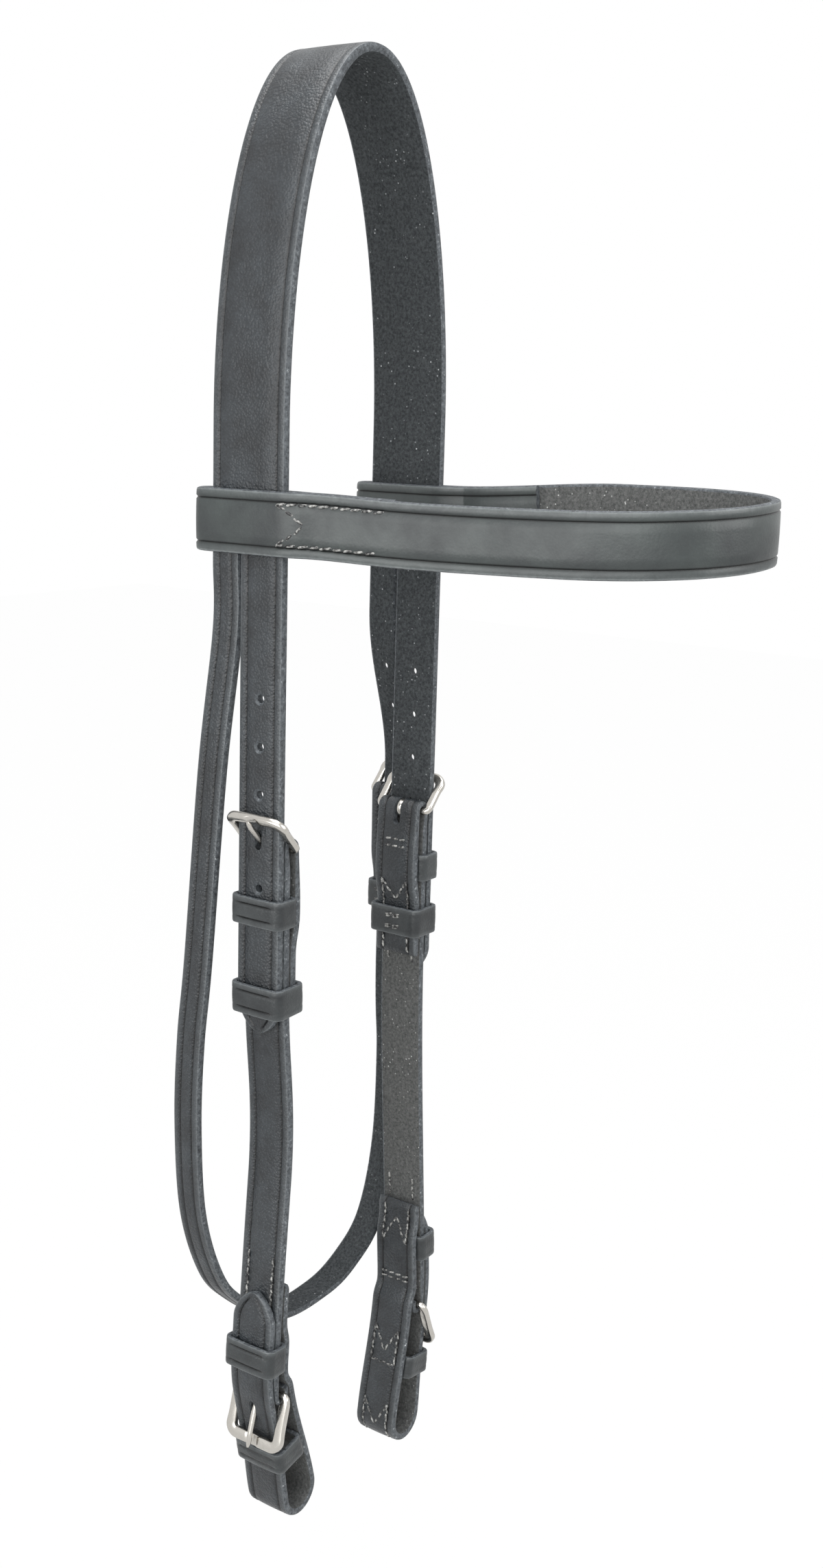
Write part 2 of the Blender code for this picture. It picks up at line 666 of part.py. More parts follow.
def throatlash_rows(off, buckle):
    """Rows of the long throatlash, from the slit down, under the throat and up round its buckle."""
    start = [off.line.at(OUTER_LAYER, THROAT_Y, -z) for z in (SLIT_DROP, THROAT_DRIFT_START)]
    end_layer = -GAP / 2 - THROAT_END_LEATHER / 2
    end = [buckle.line.at(end_layer, THROAT_LINE_Y, -z) for z in (THROAT_RISE_START, FIRST_HOLE_DROP)]
    path = [start[0]] + smooth_path([start[0], start[1], *THROATLASH_ROUTE, *end], THROAT_STEPS)
    rows = []
    for k, center in enumerate(path):
        heading = (path[min(k + 1, len(path) - 1)] - path[max(k - 1, 0)]).normalized()
        across = Vector((0, 1, 0)) - heading * heading.y
        across = across.normalized() * THROAT_WIDTH / 2
        rows.append([center - across, center + across])
    for k in (0, 1, -1):
        half = Vector((0, THROAT_WIDTH / 2, 0))
        rows[k] = [path[k] - half, path[k] + half]
    stations = chape_stations(buckle, THROAT_END_LEATHER, buckle.bar_z - THROAT_CHAPE_LENGTH,
                              buckle.bar_z - THROAT_KEEPER_DROP, THROAT_KEEPER_HEIGHT)
    rows += [strap_row(buckle.line, n, THROAT_LINE_Y, THROAT_WIDTH, z) for n, z, _ in stations]
    last = len(path) - 1
    shares = [1.0 + (THROAT_END_LEATHER / LEATHER - 1.0) * k / last for k in range(len(path))]
    shares += [thickness / LEATHER for _, _, thickness in stations]
    return rows, shares


def make_throat_buckle(shop, buckle):
    """The buckle, sewn keeper and runner of the throatlash."""
    make_buckle(shop, "throat_buckle", buckle)
    outside = OUTER_FACE + GAP
    inner_face = -GAP / 2 - THROAT_END_LEATHER
    sewn = (inner_face - GAP, outside)
    loose = (inner_face - THROAT_END_LEATHER - 2 * GAP, outside)
    make_keeper(shop, "throat_keeper", buckle.line, (sewn, sewn), THROAT_LINE_Y, THROAT_WIDTH,
                buckle.bar_z - THROAT_KEEPER_DROP, THROAT_KEEPER_HEIGHT)
    runner_z = buckle.bar_z - THROAT_RUNNER_DROP
    make_keeper(shop, "throat_runner", buckle.line, (loose, loose), THROAT_LINE_Y, THROAT_WIDTH,
                runner_z, RUNNER_HEIGHT, buckle.line.at(0, THROAT_LINE_Y, runner_z))


def browband_loop():
    """One end loop (n, y), from its open front end round the back of the headpiece to the outside."""
    inner = GAP / 2 - BROWBAND_LOOP_ROOM - BROWBAND_LEATHER / 2
    outer = OUTER_FACE + BROWBAND_LOOP_ROOM + BROWBAND_LEATHER / 2
    back = HEADPIECE_BACK + BROWBAND_LOOP_ROOM
    radius = (outer - inner) / 2
    loop = [(inner, HEADPIECE_FRONT - BROWBAND_LOOP_ROOM)]
    loop += [((inner + outer) / 2 + a, back + b) for a, b in arc(radius, pi, 0.0, BROWBAND_LOOP_STEPS)]
    return loop


def make_browband(shop, off, near):
    """The browband: a bowed strap whose ends are turned back into loops for the headpiece."""
    outer = OUTER_FACE + BROWBAND_LOOP_ROOM + BROWBAND_LEATHER / 2

    def row(point):
        share = smoothstep((HEADPIECE_FRONT - point.y) / BROWBAND_ROLL_REACH)
        middle = -BROWBAND_DROP + BROWBAND_ROLL * point.x * share
        return [Vector((*point.xy, middle + side * BROWBAND_HEIGHT / 2)) for side in (UP, DOWN)]

    def loop_rows(line):
        return [row(line.at(n, y, -BROWBAND_DROP)) for n, y in browband_loop()]

    def plan_rows(points):
        return [row(point) for point in points]

    def outside(line, y):
        return line.at(outer, y, -BROWBAND_DROP).xy

    ends = [[outside(side.line, y) for y in (HEADPIECE_BACK, HEADPIECE_FRONT)] for side in (off, near)]
    bow = smooth_path([*ends[0], *BROWBAND_BOW, *reversed(ends[1])], BROWBAND_STEPS)
    folds = ([], [])
    for k in range(1, len(bow) - 1):
        heading = (bow[k + 1] - bow[k - 1]).normalized()
        inwards = Vector((-heading.y, heading.x)) * (BROWBAND_LEATHER + GAP)
        if BROWBAND_CLOSING < HEADPIECE_FRONT - bow[k].y < BROWBAND_FOLD:
            folds[k > len(bow) / 2].append(bow[k] + inwards)
    rows = plan_rows(reversed(folds[0])) + loop_rows(off.line) + plan_rows(bow)
    rows += list(reversed(loop_rows(near.line))) + plan_rows(reversed(folds[1]))
    shop.strap("browband", [(rows, None)], BROWBAND_LEATHER)


def main():
    """Build the whole headstall."""
    clear_scene()
    shop = Workshop()
    off = CheekSide("off", -1, OFF_SWINGS, OFF_BIT_LEAN, OFF_RUNNER_DROP, OFF_UPPER_KEEPER_RISE,
                    OFF_BIT_LOOP_DROP)
    near = CheekSide("near", 1, NEAR_SWINGS, NEAR_BIT_LEAN, NEAR_RUNNER_DROP, NEAR_UPPER_KEEPER_RISE,
                     NEAR_BIT_LOOP_DROP)
    throat = Buckle(PlumbLine(1, THROAT_LINE_X), THROAT_LINE_Y, UP, THROAT_WIDTH, LEATHER,
                    THROAT_FRAME_LENGTH, SKIVED_LEATHER).seat_on_hole(BUCKLED_HOLE_Z)
    make_headpiece(shop, off, near, throat)
    make_throat_buckle(shop, throat)
    make_browband(shop, off, near)
    for side in (off, near):
        make_cheek_strap(shop, side)
        make_cheek_keepers(shop, side)
        make_bit_end(shop, side)
        make_buckle(shop, f"{side.name}_cheek_buckle", side.cheek_buckle)
        make_buckle(shop, f"{side.name}_bit_buckle", side.bit_buckle)


main()
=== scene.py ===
"""Dressed bridle headstall: creased straps, sewn chapes, keepers, stainless buckles and thread.

Lengths are in metres in the part's frame: the origin is under the crown, +Z is up, the browband faces
-Y, the off side is at -X and the near side at +X. Each side has a hanging line, and n is measured
outwards from it: the point of the headpiece lies just outside the line, the cheek strap just inside.
"""
import logging
from dataclasses import dataclass, field
from enum import Enum
from math import asin, copysign, cos, pi, radians, sin, sqrt
from typing import Callable, Optional, Sequence

import bmesh
import bpy
from mathutils import Matrix, Vector


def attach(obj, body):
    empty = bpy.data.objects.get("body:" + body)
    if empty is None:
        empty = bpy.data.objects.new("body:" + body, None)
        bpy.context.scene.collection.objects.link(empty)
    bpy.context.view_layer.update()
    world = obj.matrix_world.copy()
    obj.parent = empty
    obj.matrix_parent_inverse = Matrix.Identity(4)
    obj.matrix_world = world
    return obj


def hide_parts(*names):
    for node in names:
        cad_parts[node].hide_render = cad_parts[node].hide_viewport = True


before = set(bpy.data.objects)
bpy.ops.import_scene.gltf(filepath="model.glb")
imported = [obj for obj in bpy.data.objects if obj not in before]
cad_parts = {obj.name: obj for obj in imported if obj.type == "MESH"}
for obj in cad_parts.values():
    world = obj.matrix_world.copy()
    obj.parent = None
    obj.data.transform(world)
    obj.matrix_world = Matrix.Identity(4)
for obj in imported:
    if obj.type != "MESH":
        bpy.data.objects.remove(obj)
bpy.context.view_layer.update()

LOG = logging.getLogger("headstall")
ROOT_BODY = "headstall"

# Leather and fit, as the solids have them
LEATHER = 0.0034
BILLET_LEATHER = 0.0030
KEEPER_LEATHER = 0.0018
SKIVED_LEATHER = 0.0022
THROAT_END_LEATHER = 0.0026
GAP = 0.0003
CHEEK_WIDTH = 0.019
HEADPIECE_WIDTH = 0.032
SLIT_WIDTH = 0.001
HALF_SPAN = 0.0442
HEADPIECE_FRONT = -HEADPIECE_WIDTH / 2
HEADPIECE_BACK = HEADPIECE_WIDTH / 2
CHEEK_Y = HEADPIECE_FRONT + CHEEK_WIDTH / 2
THROAT_WIDTH = HEADPIECE_WIDTH - CHEEK_WIDTH - SLIT_WIDTH
THROAT_Y = HEADPIECE_BACK - THROAT_WIDTH / 2
THROAT_LINE_X = 0.0620
THROAT_LINE_Y = 0.0135
OUTER_LAYER = GAP / 2 + LEATHER / 2
OUTER_FACE = GAP / 2 + LEATHER

# Holes
FIRST_HOLE_DROP = 0.218
HOLE_PITCH = 0.0171
HOLE_COUNT = 5
BUCKLED_HOLE = 3
BUCKLED_HOLE_Z = -(FIRST_HOLE_DROP + BUCKLED_HOLE * HOLE_PITCH)

# Buckle wire
BAR_RADIUS = 0.0014
FREE_BAR_RADIUS = 0.0018
TONGUE_WIRE = 0.0020
FRAME_SWING = radians(6)
TONGUE_SWING = radians(8)
SKIVE_LENGTH = 0.007
SKIVED_SHARE = 0.55
SKIVED_TIP = 0.0015
KEEPER_EASE = 0.008

# How finely routes are divided, and which edges stay sharp
STATION_SPACING = 0.0022
POINT_SPACING = 0.003
ROUTE_STEPS = 12
LEATHER_SHARP = 42.0
STEEL_SHARP = 60.0
THREAD_SHARP = 75.0
ACROSS = Vector((0, 1, 0))


class Side(Enum):
    """The horse's two sides, with the sign of X that each lies on."""

    OFF = -1
    NEAR = 1


class Way(Enum):
    """Whether a buckle's frame points up or down from its hinge bar."""

    UP = 1
    DOWN = -1


class Face(Enum):
    """The three surfaces of a cut strap, in the order of its material slots."""

    GRAIN = 0
    EDGE = 1
    FLESH = 2


def linear(code: str) -> tuple[float, float, float, float]:
    """Turn an sRGB hex colour into linear RGBA.

    Args:
        code: six hex digits after a hash.

    Returns:
        The linear colour with full alpha.
    """
    shares = [int(code[k:k + 2], 16) / 255 for k in (1, 3, 5)]
    bent = [s / 12.92 if s <= 0.04045 else ((s + 0.055) / 1.055) ** 2.4 for s in shares]
    return (*bent, 1.0)


def per_mm(size: float) -> float:
    """Texture scale at which one cell of a pattern is size millimetres wide."""
    return 1000.0 / size


def smoothstep(t: float) -> float:
    """0 to 1 with level ends."""
    t = min(max(t, 0.0), 1.0)
    return t * t * (3 - 2 * t)


def mix(a: float, b: float, t: float) -> float:
    """The value between a and b at t, with level ends."""
    return a + (b - a) * smoothstep(t)


def arc(radius: float, start: float, end: float, steps: int) -> list[tuple[float, float]]:
    """Points on a round stretch between two angles."""
    angles = [start + (end - start) * k / steps for k in range(steps + 1)]
    return [(radius * cos(a), radius * sin(a)) for a in angles]


def smooth_path(points: Sequence[Vector], steps: int) -> list[Vector]:
    """Run a Catmull-Rom curve through a route.

    Args:
        points: the route; its first and last points only set the direction.
        steps: points made for each stretch of the route.

    Returns:
        The curve's points.
    """
    route = [Vector(p) for p in points]
    path = []
    for i in range(1, len(route) - 2):
        a, b, c, d = route[i - 1:i + 3]
        for k in range(steps):
            t = k / steps
            bend = (2 * a - 5 * b + 4 * c - d) * t + (3 * b - a - 3 * c + d) * t * t
            path.append(b + 0.5 * t * ((c - a) + bend))
    path.append(route[-2])
    return path


def soften(route: Sequence[Vector], reach: float, steps: int) -> list[Vector]:
    """Round each corner of a route without leaving its inside.

    Args:
        route: points whose first two numbers are the place; the others ride along.
        reach: how far from a corner its curve may start.
        steps: points on each curve.

    Returns:
        The rounded route.
    """
    soft = [route[0]]
    for before, corner, after in zip(route, route[1:], route[2:]):
        lengths = [(side - corner).xy.length for side in (before, after)]
        lead = min(reach, *(length / 2 for length in lengths))
        start = corner.lerp(before, lead / lengths[0])
        end = corner.lerp(after, lead / lengths[1])
        for k in range(steps + 1):
            t = k / steps
            soft.append(start * (1 - t) ** 2 + corner * (2 * t * (1 - t)) + end * t * t)
    soft.append(route[-1])
    return soft


def divide(route: Sequence[Vector], spacing: float) -> list[Vector]:
    """Split the long stretches of a route and drop points that coincide.

    Args:
        route: points whose first two numbers are the place.
        spacing: the longest stretch that stays whole.

    Returns:
        The divided route.
    """
    fine = [route[0]]
    for point in route[1:]:
        length = (point - fine[-1]).xy.length
        if length < GAP / 10:
            continue
        parts = max(1, round(length / spacing))
        start = fine[-1]
        fine += [start.lerp(point, k / parts) for k in range(1, parts + 1)]
    return fine


def add_node(tree: bpy.types.NodeTree, kind: str, settings: Optional[dict] = None,
             links: Optional[dict] = None) -> bpy.types.Node:
    """Add a node with its settings and links.

    Args:
        tree: the node tree.
        kind: the node's type.
        settings: values by input name or number, or by attribute.
        links: source sockets by input name or number.

    Returns:
        The new node.
    """
    node = tree.nodes.new(kind)
    for key, value in (settings or {}).items():
        if isinstance(key, str) and hasattr(node, key):
            setattr(node, key, value)
        else:
            node.inputs[key].default_value = value
    for key, source in (links or {}).items():
        tree.links.new(source, node.inputs[key])
    return node


def seen_directly(tree: bpy.types.NodeTree) -> bpy.types.NodeSocket:
    """Find which rays see the background itself.

    Args:
        tree: the node tree of the paper or the world.

    Returns:
        A socket that is 1 for camera, glossy and transmission rays, and 0 for the others.
    """
    path = add_node(tree, "ShaderNodeLightPath")
    seen = path.outputs["Is Camera Ray"]
    for ray in ("Is Glossy Ray", "Is Transmission Ray"):
        either = add_node(tree, "ShaderNodeMath", {"operation": "MAXIMUM"}, {0: seen, 1: path.outputs[ray]})
        seen = either.outputs["Value"]
    return seen


@dataclass(frozen=True)
class Finish:
    """A surface finish; its material is made once and shared."""

    name: str

    def material(self) -> bpy.types.Material:
        """The material of this finish."""
        found = bpy.data.materials.get(self.name)
        if found is None:
            found = bpy.data.materials.new(self.name)
            found.use_nodes = True
            self.dress(found.node_tree, found.node_tree.nodes["Principled BSDF"])
        return found

    def dress(self, tree: bpy.types.NodeTree, shader: bpy.types.Node) -> None:
        """Add the nodes of this finish to its shader."""
        raise NotImplementedError


@dataclass(frozen=True)
class GrainLeather(Finish):
    """Vegetable-tanned bridle leather, drum-dyed black, waxed and creased with a hot iron.

    To the eye: charcoal with a cool cast, a fine wrinkled grain, cloudy wax bloom, painted shade in the
    crease lines and grain valleys, and a paler rim, partly rubbed and partly a painted highlight.
    """

    shade: str
    bloom: str
    # paler colour of the rounded rim: partly rubbed wear, partly painted highlight
    rim: str
    # colour for crease lines and grain valleys: painted shade in these recesses
    crease: str
    roughness: float
    grain_bump: float
    # how far the grain valleys are darkened with painted shade
    pit_shade_share: float
    # Real grain is near 0.3 mm; it is drawn coarser so that it shows in the render.
    grain_mm: float = 0.95
    wrinkle_mm: float = 2.6
    bloom_mm: float = 14.0

    def dress(self, tree: bpy.types.NodeTree, shader: bpy.types.Node) -> None:
        """Colour from bloom, a paler rim (partly wear, partly painted highlight) and painted shade in
        creases and grain valleys; bump from grain and wrinkles.
        """
        place = add_node(tree, "ShaderNodeTexCoord").outputs["Object"]
        tone = add_node(tree, "ShaderNodeAttribute", {"attribute_name": "tone"}).outputs["Fac"]
        cloud = add_node(tree, "ShaderNodeTexNoise", {"Scale": per_mm(self.bloom_mm), "Detail": 5.0,
                         "Roughness": 0.62}, {"Vector": place}).outputs["Fac"]
        cells = add_node(tree, "ShaderNodeTexVoronoi", {"Scale": per_mm(self.grain_mm)},
                         {"Vector": place}).outputs["Distance"]
        wrinkle = add_node(tree, "ShaderNodeTexNoise", {"Scale": per_mm(self.wrinkle_mm), "Detail": 6.0,
                           "Roughness": 0.7, "Distortion": 0.6}, {"Vector": place}).outputs["Fac"]
        share = add_node(tree, "ShaderNodeMapRange", {"From Min": 0.36, "From Max": 0.70},
                         {"Value": cloud}).outputs["Result"]
        body = add_node(tree, "ShaderNodeMix", {"data_type": "RGBA", 6: linear(self.shade),
                        7: linear(self.bloom)}, {0: share}).outputs[2]
        # Cell edges are the grain's valleys; darkening them towards the crease colour is painted shade.
        pit_shade = add_node(tree, "ShaderNodeMapRange", {"From Min": 0.25, "From Max": 0.75, "To Min": 0.0,
                        "To Max": self.pit_shade_share}, {"Value": cells}).outputs["Result"]
        pit_shaded = add_node(tree, "ShaderNodeMix", {"data_type": "RGBA", 7: linear(self.crease)},
                           {0: pit_shade, 6: body}).outputs[2]
        # The rim share rises towards the rounded rim; its paler colour is partly rubbed wear and partly
        # painted highlight.
        rubbed = add_node(tree, "ShaderNodeMapRange", {"From Min": 0.05, "From Max": 1.0},
                          {"Value": tone}).outputs["Result"]
        rim_wear_and_highlight = add_node(tree, "ShaderNodeMath", {"operation": "MULTIPLY"}, {0: rubbed, 1: wrinkle})
        rimmed = add_node(tree, "ShaderNodeMix", {"data_type": "RGBA", 7: linear(self.rim)},
                          {0: rim_wear_and_highlight.outputs["Value"], 6: pit_shaded}).outputs[2]
        # The crease lines are mixed towards the crease colour: painted shade in the pressed grooves.
        pressed = add_node(tree, "ShaderNodeMapRange", {"From Min": -0.05, "From Max": -1.0},
                           {"Value": tone}).outputs["Result"]
        color = add_node(tree, "ShaderNodeMix", {"data_type": "RGBA", 7: linear(self.crease)},
                         {0: pressed, 6: rimmed}).outputs[2]
        tree.links.new(color, shader.inputs["Base Color"])
        sheen = add_node(tree, "ShaderNodeMapRange", {"From Min": 0.3, "From Max": 0.7,
                         "To Min": self.roughness + 0.07, "To Max": self.roughness - 0.07},
                         {"Value": cloud}).outputs["Result"]
        tree.links.new(sheen, shader.inputs["Roughness"])
        shader.inputs["IOR"].default_value = 1.48
        shader.inputs["Specular IOR Level"].default_value = 0.5
        coarse = add_node(tree, "ShaderNodeBump", {"Strength": self.grain_bump * 0.6, "Distance": 0.0006},
                          {"Height": wrinkle}).outputs["Normal"]
        fine = add_node(tree, "ShaderNodeBump", {"Strength": self.grain_bump, "Distance": 0.0003,
                        "invert": True}, {"Height": cells, "Normal": coarse}).outputs["Normal"]
        tree.links.new(fine, shader.inputs["Normal"])


@dataclass(frozen=True)
class FleshLeather(Finish):
    """The flesh side of the hide, split and dyed: a matt nap with loose pale fibres.

    To the eye: near-black suede that takes no shine, with a scatter of pale specks.
    """

    shade: str
    nap: str
    speck: str
    # Loose fibres are near 0.1 mm across; the specks are drawn coarser so that they show.
    nap_mm: float = 1.1
    speck_mm: float = 2.1

    def dress(self, tree: bpy.types.NodeTree, shader: bpy.types.Node) -> None:
        """Colour from nap and specks; bump from nap."""
        place = add_node(tree, "ShaderNodeTexCoord").outputs["Object"]
        nap = add_node(tree, "ShaderNodeTexNoise", {"Scale": per_mm(self.nap_mm), "Detail": 4.0,
                       "Roughness": 0.75}, {"Vector": place}).outputs["Fac"]
        patch = add_node(tree, "ShaderNodeTexNoise", {"Scale": per_mm(9.0), "Detail": 3.0},
                         {"Vector": place}).outputs["Fac"]
        dots = add_node(tree, "ShaderNodeTexVoronoi", {"Scale": per_mm(self.speck_mm)},
                        {"Vector": place}).outputs["Distance"]
        share = add_node(tree, "ShaderNodeMapRange", {"From Min": 0.35, "From Max": 0.72},
                         {"Value": nap}).outputs["Result"]
        body = add_node(tree, "ShaderNodeMix", {"data_type": "RGBA", 6: linear(self.shade),
                        7: linear(self.nap)}, {0: share}).outputs[2]
        near = add_node(tree, "ShaderNodeMapRange", {"From Min": 0.17, "From Max": 0.09},
                        {"Value": dots}).outputs["Result"]
        some = add_node(tree, "ShaderNodeMapRange", {"From Min": 0.46, "From Max": 0.66},
                        {"Value": patch}).outputs["Result"]
        seen = add_node(tree, "ShaderNodeMath", {"operation": "MULTIPLY"}, {0: near, 1: some})
        color = add_node(tree, "ShaderNodeMix", {"data_type": "RGBA", 7: linear(self.speck)},
                         {0: seen.outputs["Value"], 6: body}).outputs[2]
        tree.links.new(color, shader.inputs["Base Color"])
        shader.inputs["Roughness"].default_value = 0.92
        shader.inputs["IOR"].default_value = 1.42
        shader.inputs["Specular IOR Level"].default_value = 0.3
        bump = add_node(tree, "ShaderNodeBump", {"Strength": 0.55, "Distance": 0.0004},
                        {"Height": nap}).outputs["Normal"]
        tree.links.new(bump, shader.inputs["Normal"])


@dataclass(frozen=True)
class CutEdge(Finish):
    """The knife-cut edge of the strap, rounded with an edge tool, inked and rubbed.

    To the eye: a grey band of packed fibres, flecked light and dark along the strap.
    """

    shade: str
    fibre: str
    speck: str
    # Fibre bundles are near 0.2 mm; they are drawn coarser so that they show.
    fibre_mm: float = 1.3

    def dress(self, tree: bpy.types.NodeTree, shader: bpy.types.Node) -> None:
        """Colour and bump from the packed fibres."""
        place = add_node(tree, "ShaderNodeTexCoord").outputs["Object"]
        fibres = add_node(tree, "ShaderNodeTexNoise", {"Scale": per_mm(self.fibre_mm), "Detail": 5.0,
                          "Roughness": 0.8}, {"Vector": place}).outputs["Fac"]
        patch = add_node(tree, "ShaderNodeTexNoise", {"Scale": per_mm(7.0), "Detail": 3.0},
                         {"Vector": place}).outputs["Fac"]
        share = add_node(tree, "ShaderNodeMapRange", {"From Min": 0.36, "From Max": 0.66},
                         {"Value": fibres}).outputs["Result"]
        body = add_node(tree, "ShaderNodeMix", {"data_type": "RGBA", 6: linear(self.shade),
                        7: linear(self.fibre)}, {0: share}).outputs[2]
        bright = add_node(tree, "ShaderNodeMapRange", {"From Min": 0.60, "From Max": 0.70},
                          {"Value": fibres}).outputs["Result"]
        some = add_node(tree, "ShaderNodeMapRange", {"From Min": 0.42, "From Max": 0.68},
                        {"Value": patch}).outputs["Result"]
        seen = add_node(tree, "ShaderNodeMath", {"operation": "MULTIPLY"}, {0: bright, 1: some})
        color = add_node(tree, "ShaderNodeMix", {"data_type": "RGBA", 7: linear(self.speck)},
                         {0: seen.outputs["Value"], 6: body}).outputs[2]
        tree.links.new(color, shader.inputs["Base Color"])
        shader.inputs["Roughness"].default_value = 0.58
        shader.inputs["IOR"].default_value = 1.45
        bump = add_node(tree, "ShaderNodeBump", {"Strength": 0.6, "Distance": 0.0004},
                        {"Height": fibres}).outputs["Normal"]
        tree.links.new(bump, shader.inputs["Normal"])


@dataclass(frozen=True)
class WaxedThread(Finish):
    """Waxed linen thread, laid in two plies: dark, with light caught on each turn."""

    shade: str
    glint: str
    ply_mm: float = 1.3

    def dress(self, tree: bpy.types.NodeTree, shader: bpy.types.Node) -> None:
        """Colour from the plies."""
        place = add_node(tree, "ShaderNodeTexCoord").outputs["Object"]
        ply = add_node(tree, "ShaderNodeTexNoise", {"Scale": per_mm(self.ply_mm), "Detail": 3.0},
                       {"Vector": place}).outputs["Fac"]
        share = add_node(tree, "ShaderNodeMapRange", {"From Min": 0.42, "From Max": 0.66},
                         {"Value": ply}).outputs["Result"]
        color = add_node(tree, "ShaderNodeMix", {"data_type": "RGBA", 6: linear(self.shade),
                         7: linear(self.glint)}, {0: share}).outputs[2]
        tree.links.new(color, shader.inputs["Base Color"])
        shader.inputs["Roughness"].default_value = 0.38
        shader.inputs["IOR"].default_value = 1.5


@dataclass(frozen=True)
class SatinSteel(Finish):
    """Cast stainless steel, tumbled and buffed: warm satin shine with faint rub marks."""

    shade: str
    rub: str
    roughness: float
    rub_mm: float = 2.4

    def dress(self, tree: bpy.types.NodeTree, shader: bpy.types.Node) -> None:
        """Colour and roughness from the rub marks."""
        place = add_node(tree, "ShaderNodeTexCoord").outputs["Object"]
        marks = add_node(tree, "ShaderNodeTexNoise", {"Scale": per_mm(self.rub_mm), "Detail": 4.0,
                         "Roughness": 0.65}, {"Vector": place}).outputs["Fac"]
        color = add_node(tree, "ShaderNodeMix", {"data_type": "RGBA", 6: linear(self.shade),
                         7: linear(self.rub)}, {0: marks}).outputs[2]
        tree.links.new(color, shader.inputs["Base Color"])
        gloss = add_node(tree, "ShaderNodeMapRange", {"From Min": 0.3, "From Max": 0.7,
                         "To Min": self.roughness - 0.05, "To Max": self.roughness + 0.07},
                         {"Value": marks}).outputs["Result"]
        tree.links.new(gloss, shader.inputs["Roughness"])
        shader.inputs["Metallic"].default_value = 1.0
        bump = add_node(tree, "ShaderNodeBump", {"Strength": 0.03, "Distance": 0.0002},
                        {"Height": marks}).outputs["Normal"]
        tree.links.new(bump, shader.inputs["Normal"])


@dataclass(frozen=True)
class StudioPaper(Finish):
    """Matt white background paper on a roll: an even, shadow-taking white."""

    shade: str
    glow: float

    def dress(self, tree: bpy.types.NodeTree, shader: bpy.types.Node) -> None:
        """Paper that the camera and reflections see near white."""
        shader.inputs["Base Color"].default_value = linear(self.shade)
        shader.inputs["Roughness"].default_value = 0.95
        seen = seen_directly(tree)
        amount = add_node(tree, "ShaderNodeMath", {"operation": "MULTIPLY", 1: self.glow},
                          {0: seen})
        white = add_node(tree, "ShaderNodeEmission", {"Strength": 1.0})
        blend = add_node(tree, "ShaderNodeMixShader", None, {0: amount.outputs["Value"],
                         1: shader.outputs["BSDF"], 2: white.outputs["Emission"]})
        tree.links.new(blend.outputs["Shader"], tree.nodes["Material Output"].inputs["Surface"])


# Rim colours are partly rubbed wear and partly painted highlight; crease colours are painted shade in creases
# and grain valleys.
STRAP_GRAIN = GrainLeather("waxed bridle leather, grain side", shade="#1a1d20", bloom="#2e3337",
                           rim="#6c7174", crease="#040405", roughness=0.40, grain_bump=0.70, pit_shade_share=0.30)
# The browband's lighter shade and bloom are partly its own leather and partly painted light for the sheen
# across its front.
BROWBAND_GRAIN = GrainLeather("waxed browband leather, smooth grain", shade="#262a2b", bloom="#3a403f",
                              rim="#84898a", crease="#070808", roughness=0.40, grain_bump=0.12,
                              pit_shade_share=0.06, bloom_mm=26.0)
KEEPER_GRAIN = GrainLeather("waxed keeper leather, smooth grain", shade="#1e2123", bloom="#343839",
                            rim="#707577", crease="#020203", roughness=0.38, grain_bump=0.22, pit_shade_share=0.12)
# A darker copy of the flesh finish: painted shade on the headpiece's inner faces.
SHADED_HEADPIECE_FLESH = FleshLeather("dyed headpiece leather, flesh side", shade="#25282a", nap="#4a4d4f",
                               speck="#a5a8aa")
FLESH = FleshLeather("dyed strap leather, flesh side", shade="#3a3b3b", nap="#626362", speck="#a9aaa8")
EDGE = CutEdge("inked leather edge", shade="#212428", fibre="#5f6468", speck="#d0d3d5")
THREAD = WaxedThread("waxed linen thread", shade="#1a1a1b", glint="#9d9d9a")
STEEL = SatinSteel("buffed stainless steel", shade="#c9c6c0", rub="#b4b0a9", roughness=0.20)
PAPER = StudioPaper("white background paper", shade="#f4f4f2", glow=0.985)


@dataclass
class Station:
    """One cross-cut of a strap."""

    middle: Vector
    across: Vector
    outward: Vector
    width: float
    thickness: float
    crease: float = 1.0


